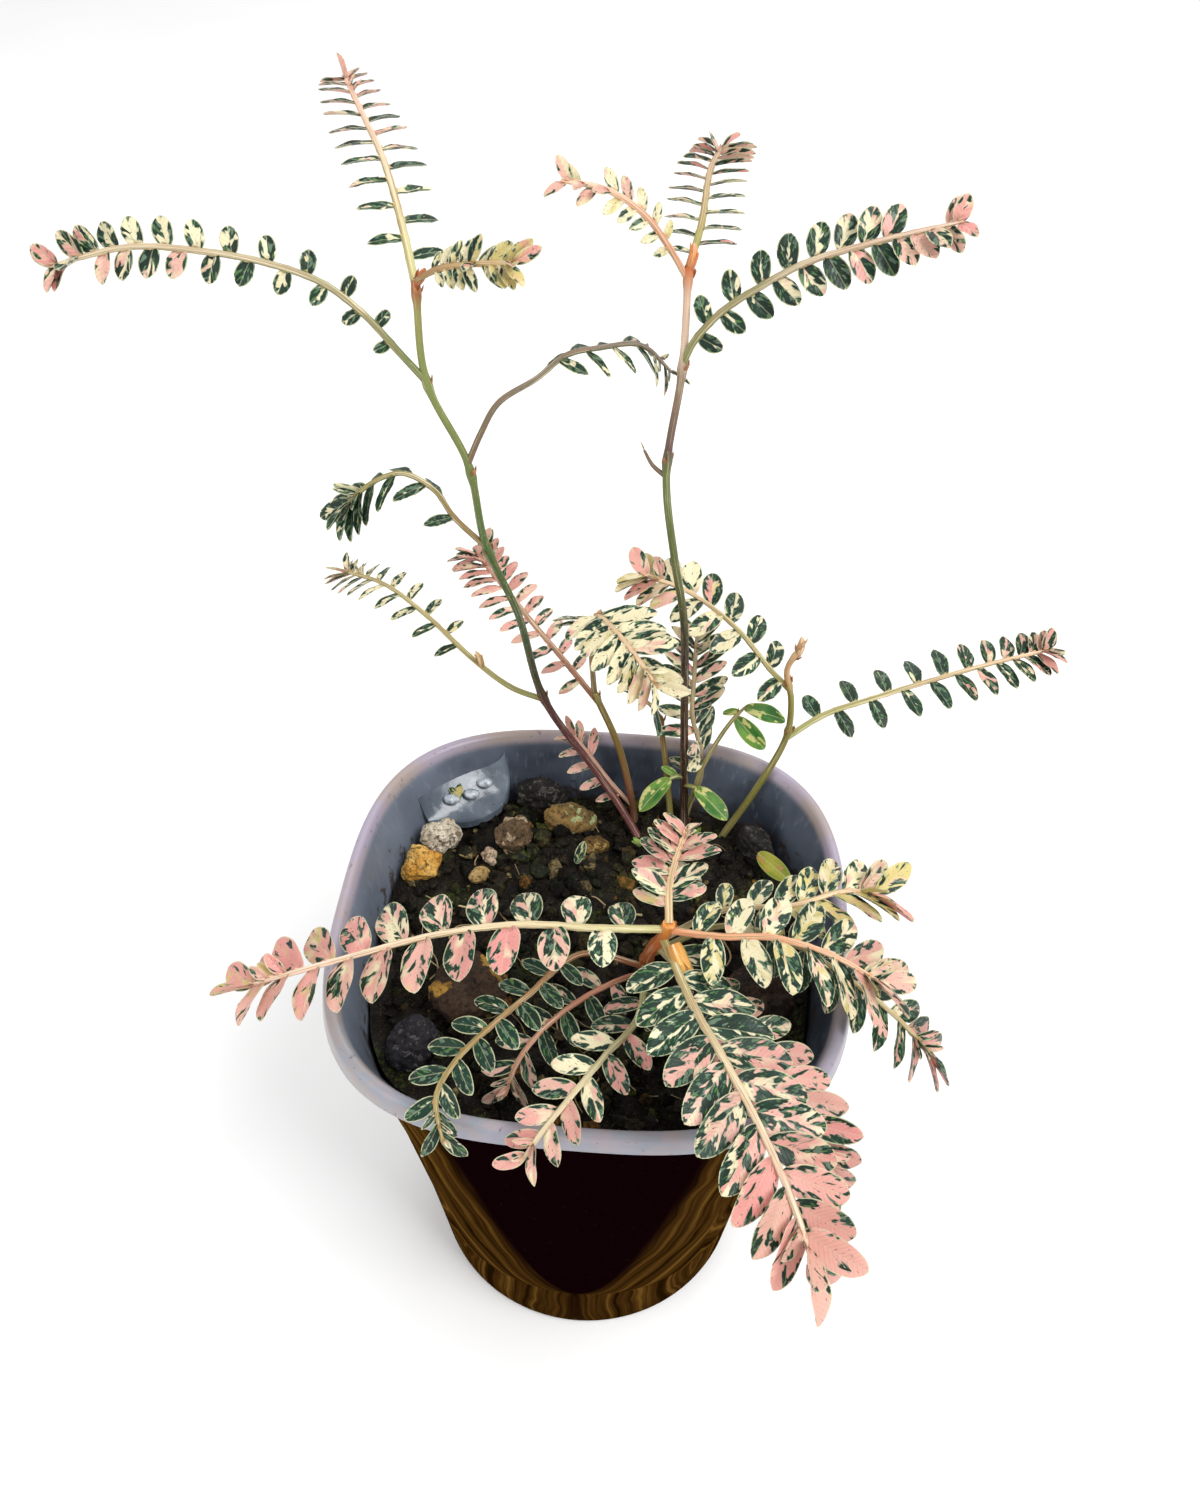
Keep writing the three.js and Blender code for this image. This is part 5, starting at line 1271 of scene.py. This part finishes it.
# A leaflet is dark green in streaks that follow its veins, over cream, pink or yellow.
def leaf_material():
    net = Net("leaf_variegated", 0.42, 0.35)
    along, across, seed = net.split(net.kept("spot"))
    shares = net.add("SeparateColor")
    net.put(shares.inputs[0], net.kept("mix", "Color"))
    green, pink, yellow = shares.outputs[:3]
    chance = net.kept("mix", "Alpha")
    margin = net.kept("margin", "Fac")
    side = net.math("ABSOLUTE", across)
    half = net.line(net.math("SIGN", across), 11.3, seed)
    off_rib = net.line(along, -0.42, side)
    on_rib = net.line(side, 0.42, along)
    streak = net.join(net.times(off_rib, 0.54), net.times(on_rib, 0.21), half)
    fine = net.join(net.times(off_rib, 2.0), net.times(on_rib, 0.45), half)
    wide = net.join(net.times(off_rib, 0.2), net.times(on_rib, 0.12), half)

    # Where it is green: less along the midrib, more at the margin.
    edge_green = net.band(margin, 0.25, 1.1, 0.035, 0.0)
    rib_pale = net.band(side, 0.0, 1.0, 0.075, 0.0)
    level = net.math("SUBTRACT", net.plus(net.line(green, 0.42, 0.29), edge_green), rib_pale)
    gap = net.math("SUBTRACT", level, net.noise(streak, 1, 2.4, 0.55, 0.4))
    is_green = net.band(gap, -0.006, 0.012)
    half_tone = net.band(gap, -0.045, 0.0)
    is_grey = net.times(net.band(net.noise(streak, 2.2, 2), 0.56, 0.62), 0.7)
    is_mid = net.times(net.band(net.noise(fine, 1, 2), 0.60, 0.66), 0.75)
    leafy = net.over(LEAF.deep, LEAF.dark, net.noise(wide, 1, 2), 0.35, 0.65)
    leafy = net.mix(is_grey, leafy, LEAF.grey)
    leafy = net.mix(is_mid, leafy, LEAF.mid)

    warm = net.plus(net.noise(wide, 1.3, 1), net.line(pink, 0.9, -0.45))
    golden = net.plus(net.noise(wide, 1.7, 1), net.line(yellow, 0.9, -0.45))
    pale = net.over(LEAF.cream, net.mix(chance, LEAF.pink, LEAF.rose), warm, 0.38, 0.62)
    pale = net.over(pale, LEAF.yellow, golden, 0.45, 0.7)
    pale = net.mix(net.times(half_tone, 0.55), pale, LEAF.grey)
    pale = net.over(pale, LEAF.speck, net.noise(fine, 1.8, 1), 0.70, 0.73, 0.9)
    colour = net.mix(is_green, pale, leafy)

    rim = net.times(net.band(margin, 0.12, 0.3, 1.0, 0.0),
                    net.band(net.noise(fine, 0.8, 1), 0.36, 0.46))
    colour = net.mix(net.times(rim, 0.85), colour, LEAF.edge)
    colour = net.mix(net.band(side, 0.05, 0.15, 0.3, 0.0), colour, LEAF.edge)
    vein = veins(net, along, side, 6.6, 0.86)
    colour = net.mix(net.times(vein, 0.12), colour, LEAF.speck)

    # Darker at the root, a painted shade where the leaflet meets the rib, and each leaflet darker
    # by a share of its own.
    root_shade = net.band(along, 0.2, 2.4, 0.42, 0.0)
    own_shade = net.times(net.math("FRACT", net.times(seed, 0.618)), 0.3)
    shade = net.math("MAXIMUM", root_shade, own_shade)
    colour = net.mix(shade, colour, net.mix(1.0, colour, LEAF.shade, "MULTIPLY"))
    net.set("Base Color", colour)
    net.bump(net.line(vein, -0.6, net.noise(fine, 0.7, 2)), 0.5, 0.16)
    net.let_through(colour, 0.16)
    return net.material


# Fresh leaves at the foot of the stems: plain bright green with browned patches.
def fresh_material(name, low, high, patch):
    net = Net(name, 0.4, 0.4)
    along, across, seed = net.split(net.kept("spot"))
    side = net.math("ABSOLUTE", across)
    wide = net.join(net.times(along, 0.16), net.times(across, 0.3), seed)
    fine = net.join(net.times(along, 0.8), net.times(across, 1.4), seed)
    colour = net.over(low, high, net.noise(wide, 1, 2), 0.3, 0.7)
    colour = net.over(colour, patch, net.noise(wide, 1.9, 2), 0.58, 0.62)
    at_edge = net.band(net.kept("margin", "Fac"), 0.1, 0.35, 0.6, 0.0)
    colour = net.mix(at_edge, colour, FRESH_LEAF.edge)
    colour = net.mix(net.band(side, 0.08, 0.2, 0.6, 0.0), colour, FRESH_LEAF.rib)
    vein = veins(net, along, side, 5.2, 0.85)
    colour = net.mix(net.times(vein, 0.2), colour, FRESH_LEAF.vein)
    net.set("Base Color", colour)
    net.bump(net.line(vein, -0.6, net.noise(fine, 1, 2)), 0.35, 0.12)
    net.let_through(colour, 0.18)
    return net.material


# Ribs and stems: the tone kept along them, with long streaks and small pale dots.
def bark_material(name, roughness, strength, dots):
    net = Net(name, roughness, 0.3)
    along, x, y = net.split(net.kept("spot"))
    fine = net.noise(net.join(net.times(along, 0.07), x, y), 0.9, 3, 0.65)
    wide = net.noise(net.join(net.times(along, 0.05), x, y), 0.5, 2)
    spots = net.noise(net.join(along, x, y), 1.6, 1)
    colour = net.over(net.kept("tone", "Color"), BARK.brown, fine, 0.52, 0.62, strength)
    colour = net.over(colour, BARK.olive, wide, 0.54, 0.66, strength)
    colour = net.mix(net.band(fine, 0.36, 0.45, strength, 0), colour, BARK.pale)
    colour = net.over(colour, BARK.dots, spots, 0.68, 0.74, dots)
    net.set("Base Color", colour)
    net.bump(net.plus(fine, net.times(spots, 0.4)), 0.45, 0.2)
    return net.material


# The dark panel of each side of the pot narrows in a curve toward its foot, between painted
# reflections at its corners.
PANEL_FOOT = 23
PANEL_WIDTH = 33
PANEL_RISE = 110


# The pot's outside: near black, with browner streaks toward its corners and foot that are painted
# reflections.
def pot_outer_material():
    net = Net("pot_outside", 0.45, 0.0)
    x, y, z = net.split(net.place())
    beside = net.math("MINIMUM", net.math("ABSOLUTE", x), net.math("ABSOLUTE", y))
    rise = net.math("MAXIMUM", net.math("SUBTRACT", z, PANEL_FOOT), 0.0)
    risen = net.math("SQRT", net.math("DIVIDE", rise, PANEL_RISE))
    past = net.math("SUBTRACT", beside, net.times(risen, PANEL_WIDTH))
    bend = net.times(net.noise(net.place(), 0.03, 2), 12)
    # Painted reflection: wavy brown streaks beyond each panel's edge.
    streak = net.noise(net.join(net.plus(past, bend), net.times(z, 0.02), 0.0), 0.35, 3, 0.6)
    brown = net.over(POT.brown, POT.mid, streak, 0.35, 0.55)
    brown = net.over(brown, POT.light, streak, 0.5, 0.68, 0.9)
    colour = net.over(POT.panel, brown, past, -1.5, 3.0)
    speckle = net.noise(net.place((1, 1, 0.6)), 0.9, 3)
    net.set("Base Color", net.over(colour, POT.mid, speckle, 0.62, 0.8, 0.2))
    net.bump(net.plus(net.noise(net.place(), 0.4, 3), speckle), 0.1, 0.2)
    return net.material


# The pot's inside: blue grey and scratched, with painted light on its left wall, a warmer edge and
# brown patches that grow toward the soil.
def pot_inner_material():
    net = Net("pot_inside", 0.3, 0.35)
    place = net.place()
    zone = net.split(net.kept("tone"))[0]
    x, y, z = net.split(place)
    cloud = net.noise(place, 0.05, 3)
    inner = net.over(POT.inside_low, POT.inside_high, cloud, 0.35, 0.65)
    # Painted light: the left side of the inner wall is paler, as if lit from the right.
    inner = net.over(inner, POT.lit, net.line(x, -1.0, net.times(cloud, 30)), 38, 72, 0.6)
    scratch = net.noise(net.place((0.5, 0.5, 0.06)), 1.2, 3)
    inner = net.over(inner, POT.scratch, scratch, 0.56, 0.7, 0.25)
    # Brown patches on the wall, more of them toward the soil.
    brown_patches = net.plus(net.noise(place, 0.3, 4, 0.65), net.band(z, 112, 124, 0.16, 0.0))
    inner = net.over(inner, POT.dirt, brown_patches, 0.66, 0.74, 0.85)

    # The rim: a painted highlight, paler toward the front, in broken glints.
    lip = net.over(POT.rim, POT.rim_warm, net.noise(place, 0.06, 3), 0.35, 0.65)
    ahead = net.band(net.line(y, -1.0, net.times(cloud, 24)), 20, 62)
    glint = net.band(net.noise(net.place((0.35, 0.35, 1)), 0.5, 3), 0.4, 0.62, 0.25, 0.9)
    lip = net.mix(net.times(ahead, glint), lip, POT.front)
    lip = net.over(lip, POT.dirt, net.noise(place, 0.5, 4, 0.65), 0.62, 0.7, 0.5)
    net.set("Base Color", net.over(inner, lip, zone, 0.2, 0.9))
    net.bump(net.plus(net.noise(place, 0.4, 3), scratch), 0.12, 0.2)
    return net.material


def shelf_material():
    net = Net("shelf_clear_grey", 0.2, 0.5)
    place = net.place()
    colour = net.over(SHELF.low, SHELF.high, net.noise(place, 0.1, 3), 0.3, 0.7)
    drips = net.noise(net.place((1, 1, 0.4)), 0.35, 3)
    colour = net.over(colour, SHELF.drip, drips, 0.58, 0.7, 0.3)
    colour = net.over(colour, SHELF.dirt, net.noise(place, 0.8, 3), 0.66, 0.72, 0.8)
    net.set("Base Color", colour)
    net.set("Transmission Weight", 0.12)
    net.bump(net.noise(place, 0.3, 3), 0.3, 0.5)
    return net.material


def lug_material():
    net = Net("lug_pale", 0.2, 0.6)
    place = net.place()
    net.set("Base Color", net.over(LUG.low, LUG.high, net.noise(place, 0.7, 2), 0.35, 0.65))
    net.bump(net.noise(place, 1.2, 2), 0.2, 0.2)
    return net.material


# Soil and its crumbs: the tone kept with them, with dark grit, pale bits and a little moss.
def soil_material():
    net = Net("soil_dark", 0.85, 0.2)
    place = net.place()
    grit = net.noise(place, 0.9, 4, 0.7)
    colour = net.over(net.kept("tone", "Color"), SOIL.dark, grit, 0.34, 0.6, 0.8)
    colour = net.over(colour, SOIL.pale, net.noise(place, 2.4, 2), 0.62, 0.7, 0.5)
    moss = net.band(net.noise(place, 0.07, 3), 0.54, 0.64, 0.0, 0.5)
    moss = net.times(moss, net.band(net.noise(place, 0.9, 2), 0.45, 0.6))
    net.set("Base Color", net.mix(moss, colour, SOIL.moss))
    net.set("Roughness", net.band(net.noise(place, 0.12, 2), 0.4, 0.6, 0.5, 0.95))
    net.bump(grit, 0.9, 0.8)
    return net.material


def stone_material(node, base, second, patch, size):
    net = Net(node + "_rock", 0.8, 0.25)
    place = net.place()
    grain = net.noise(place, 0.9, 5, 0.7)
    pits = net.band(net.cells(place, 0.8), 0.05, 0.3, 1, 0)
    colour = net.over(base, second, net.noise(place, 0.16, 4, 0.6), 0.38, 0.62)
    colour = net.over(colour, patch, net.noise(place, size, 3, 0.55, 0.6), 0.56, 0.62, 0.9)
    colour = net.over(colour, ROCK.grain, grain, 0.46, 0.68, 0.72)
    net.set("Base Color", net.mix(net.times(pits, 0.6), colour, ROCK.pit))
    net.bump(net.line(pits, -0.5, grain), 0.9, 0.6)
    return net.material


# Buds at the tops of the stems, sprouts at their foot, and the leaves that lie about

# A bud from its root to its end, wrapped in scales.
def add_bud(parts, start, end, radius, stops, scales, seed):
    start, end = np.array(start, float), np.array(end, float)
    trace = trace_path([start, (start + end) / 2 + np.array([0.3, 0, 0.2]), end])
    add_rod(parts, trace, even(12), 10,
            lambda s: radius * (math.sin(math.pi * min(1, 0.25 + 0.75 * s)) ** 0.7 + 0.06),
            lambda s: tone_along(stops, s), 0, None, 1, seed)
    along = unit(end - start)
    side = unit(np.cross(along, np.array([0.3, 0.8, 0.2])))
    for k in range(scales):
        angle = 2 * math.pi * (k * 0.382 + random01(k, seed, 71))
        out = side * math.cos(angle) + np.cross(along, side) * math.sin(angle)
        share = 0.15 + 0.6 * k / scales
        root = point_at(trace, share * trace["total"]) + out * radius * 0.55
        add_scale(parts, root, unit(along + out * 0.3), out, radius * 2.6, radius * 1.5,
                  tone_along(stops, share), 0)


# Buds: name, root, end, radius, tones along it, number of scales.
BUDS = [
    ("bud_hub", (18.6, -27.4, 153.2), (21.4, -33.6, 148.6), 1.7,
     [(0, 0xc98a3a), (0.5, 0xe0aa50), (1, 0xd8b868)], 6),
    ("bud_c_top", (13.2, 54, 259.4), (13.8, 54.4, 264.6), 0.9,
     [(0, 0xb8612f), (0.6, 0xd88a50), (1, 0xe8b088)], 4),
    ("bud_a_top", (-40.8, 55, 253.4), (-38.6, 54, 257.2), 0.9,
     [(0, 0xa85a30), (1, 0xc87848)], 4),
    ("bud_d_top", (45, 52, 165.8), (45.4, 52.4, 171.4), 1.0,
     [(0, 0xc49a70), (1, 0xe0c098)], 4),
    ("bud_b2_node", (-3.4, 47.4, 176.6), (-2.6, 45.4, 179.4), 1.1,
     [(0, 0xb8622c), (1, 0xd08a4a)], 3),
    ("bud_a5_rib", (-33.0, 58.6, 150.4), (-34.6, 59.2, 155.0), 0.8,
     [(0, 0xa8824a), (1, 0xc8a870)], 3),
    ("sprout_foot_left", (9.6, 34.6, 113.2), (8.2, 32.8, 117.2), 0.8,
     [(0, 0x5f8a34), (1, 0x8fae4c)], 4),
    ("sprout_foot_right", (23.2, 38.6, 113.6), (24.6, 37.0, 117.4), 0.8,
     [(0, 0x5a7f30), (1, 0x86a648)], 4),
]


def build_buds(material):
    for n, (name, start, end, radius, stops, scales) in enumerate(BUDS):
        parts = Parts()
        add_bud(parts, start, end, radius, stops, scales, n * 7 + 3)
        settle(parts.build(name, [material]), "stem_bark")


# Leaves that lie about: name, root, tip, the way its face looks, width, its shares of green,
# pink and yellow with its chance, and whether it is plain.
FALLEN = [
    ("fallen_leaflet", (-37.8, 40.7, 119.9), (-41.4, 47.6, 120.1), (0.1, -0.2, 1), 3.8,
     (0.6, 0.0, 1.0, 0.5), False),
    ("fallen_yellow_leaf", (39.8, 29.6, 118.8), (47.6, 21.0, 118.2), (-0.5, -0.3, 1), 4.8,
     (-0.3, 0.0, 1.0, 0.2), True),
    ("soil_leaf_spike", (-6.1, 26.2, 114.0), (-4.4, 30.0, 118.6), (0, -1, 0.4), 2.6,
     (0.75, 0.0, 1.0, 0.2), False),
]
FALLEN_SEED = 900


def build_fallen(material, plain_material):
    for n, (name, root, tip, face, width, mix, plain) in enumerate(FALLEN):
        root, tip, face = [np.array(v, float) for v in (root, tip, face)]
        along = unit(tip - root)
        normal = unit(face - np.dot(face, along) * along)
        leaf = {"root": root, "along": along, "across": np.cross(normal, along), "normal": normal,
                "length": float(np.linalg.norm(tip - root)), "width": width}
        parts = Parts()
        add_blade(parts, leaf, FALLEN_SEED + n, mix)
        chosen = plain_material if plain else material
        settle(parts.build(name, [chosen]), "variegated_foliage")


# Making it all

leaf = leaf_material()
fresh = fresh_material("leaf_fresh", 0x2f6a26, 0x6f9a3c, 0xc9c47c)
olive = fresh_material("leaf_olive", 0x7c8a20, 0xa9a53a, 0xb08a48)
rib = bark_material("rib_streaked", 0.48, 0.6, 0.3)
stem_bark = bark_material("stem_streaked", 0.5, 0.25, 0.6)

for stem in STEMS.values():
    stem["trace"] = trace_path(stem["path"])
for each in FRONDS:
    start = nearest_on(STEMS[each["stem"]]["trace"], each["path"][0])
    each["trace"] = trace_path([start, *each["path"][1:]])
    each["slot"] = "green_foliage" if each["name"] in GREEN_SLOT else "variegated_foliage"
placed, rods = place_leaflets()

for number, each in enumerate(FRONDS):
    blade = fresh if each["name"] in FRESH else leaf
    build_frond(each, number, placed, rods, blade, rib)
for letter, stem in STEMS.items():
    build_stem(letter, stem, stem_bark)

build_pot(pot_outer_material(), pot_inner_material(), shelf_material())
build_soil(soil_material(), rib)
for node, *tones in STONES:
    slot = next(m for m in STONE_SLOTS if node in STONE_SLOTS[m])
    settle(build_stone(node, stone_material(node, *tones)), slot, node)
build_buds(rib)
build_fallen(leaf, olive)

# Floor, light and camera

FLOOR_HALF = 2.5
FLOOR_LEVEL = -0.0003
floor_mesh = bpy.data.meshes.new("floor")
corners = [(x * FLOOR_HALF, y * FLOOR_HALF, FLOOR_LEVEL) for x, y in
           ((-1, -1), (1, -1), (1, 1), (-1, 1))]
floor_mesh.from_pydata(corners, [], [(0, 1, 2, 3)])
floor_net = Net("floor_pale", 0.8, 0.1)
floor_cloud = floor_net.noise(floor_net.place((0.01, 0.01, 0.01)), 1, 2)
floor_net.set("Base Color", floor_net.mix(floor_cloud, FLOOR.low, FLOOR.high))
floor_mesh.materials.append(floor_net.material)
floor = bpy.data.objects.new("floor", floor_mesh)
bpy.context.scene.collection.objects.link(floor)


def aim(thing, place, target):
    thing.location = place
    away = Vector(place) - Vector(target)
    thing.rotation_euler = away.to_track_quat("Z", "Y").to_euler()
    bpy.context.scene.collection.objects.link(thing)


# Lamps: name, place, size and power.
LAMPS = [("key", (0.65, -0.45, 1.3), 0.65, 14.5), ("fill", (-0.9, -0.6, 0.8), 0.9, 4.5),
         ("back", (0.3, 1.0, 0.9), 0.8, 4.0)]
LAMP_TARGET = (0, 0, 0.15)
WORLD_STRENGTH = 0.75
for name, place, size, power in LAMPS:
    lamp = bpy.data.lights.new(name, "AREA")
    lamp.shape = "SQUARE"
    lamp.size = size
    lamp.energy = power
    aim(bpy.data.objects.new(name, lamp), place, LAMP_TARGET)

scene = bpy.context.scene
world = bpy.data.worlds.new("studio")
world.use_nodes = True
sky = world.node_tree.nodes["Background"]
sky.inputs[0].default_value = (1, 1, 1, 1)
sky.inputs[1].default_value = WORLD_STRENGTH
scene.world = world
scene.view_settings.view_transform = "Standard"
scene.view_settings.look = "None"

rise, azimuth, roll = [math.radians(a) for a in (CAMERA_RISE, CAMERA_AZIMUTH, CAMERA_ROLL)]
back = Vector((math.sin(azimuth) * math.cos(rise), -math.cos(azimuth) * math.cos(rise),
               math.sin(rise)))
right = Vector((math.cos(azimuth), math.sin(azimuth), 0))
up = back.cross(right)
turned_right = right * math.cos(roll) + up * math.sin(roll)
turned_up = up * math.cos(roll) - right * math.sin(roll)
lens = bpy.data.cameras.new("camera")
lens.sensor_fit = "VERTICAL"
lens.sensor_height = CAMERA_SENSOR
lens.sensor_width = CAMERA_SENSOR
lens.lens = CAMERA_LENS
lens.clip_start = 0.01
camera = bpy.data.objects.new("camera", lens)
turn = Matrix((turned_right, turned_up, back)).transposed().to_4x4()
eye = (Vector(CAMERA_TARGET) + back * CAMERA_DISTANCE) * MM
camera.matrix_world = Matrix.Translation(eye) @ turn
scene.collection.objects.link(camera)
scene.camera = camera
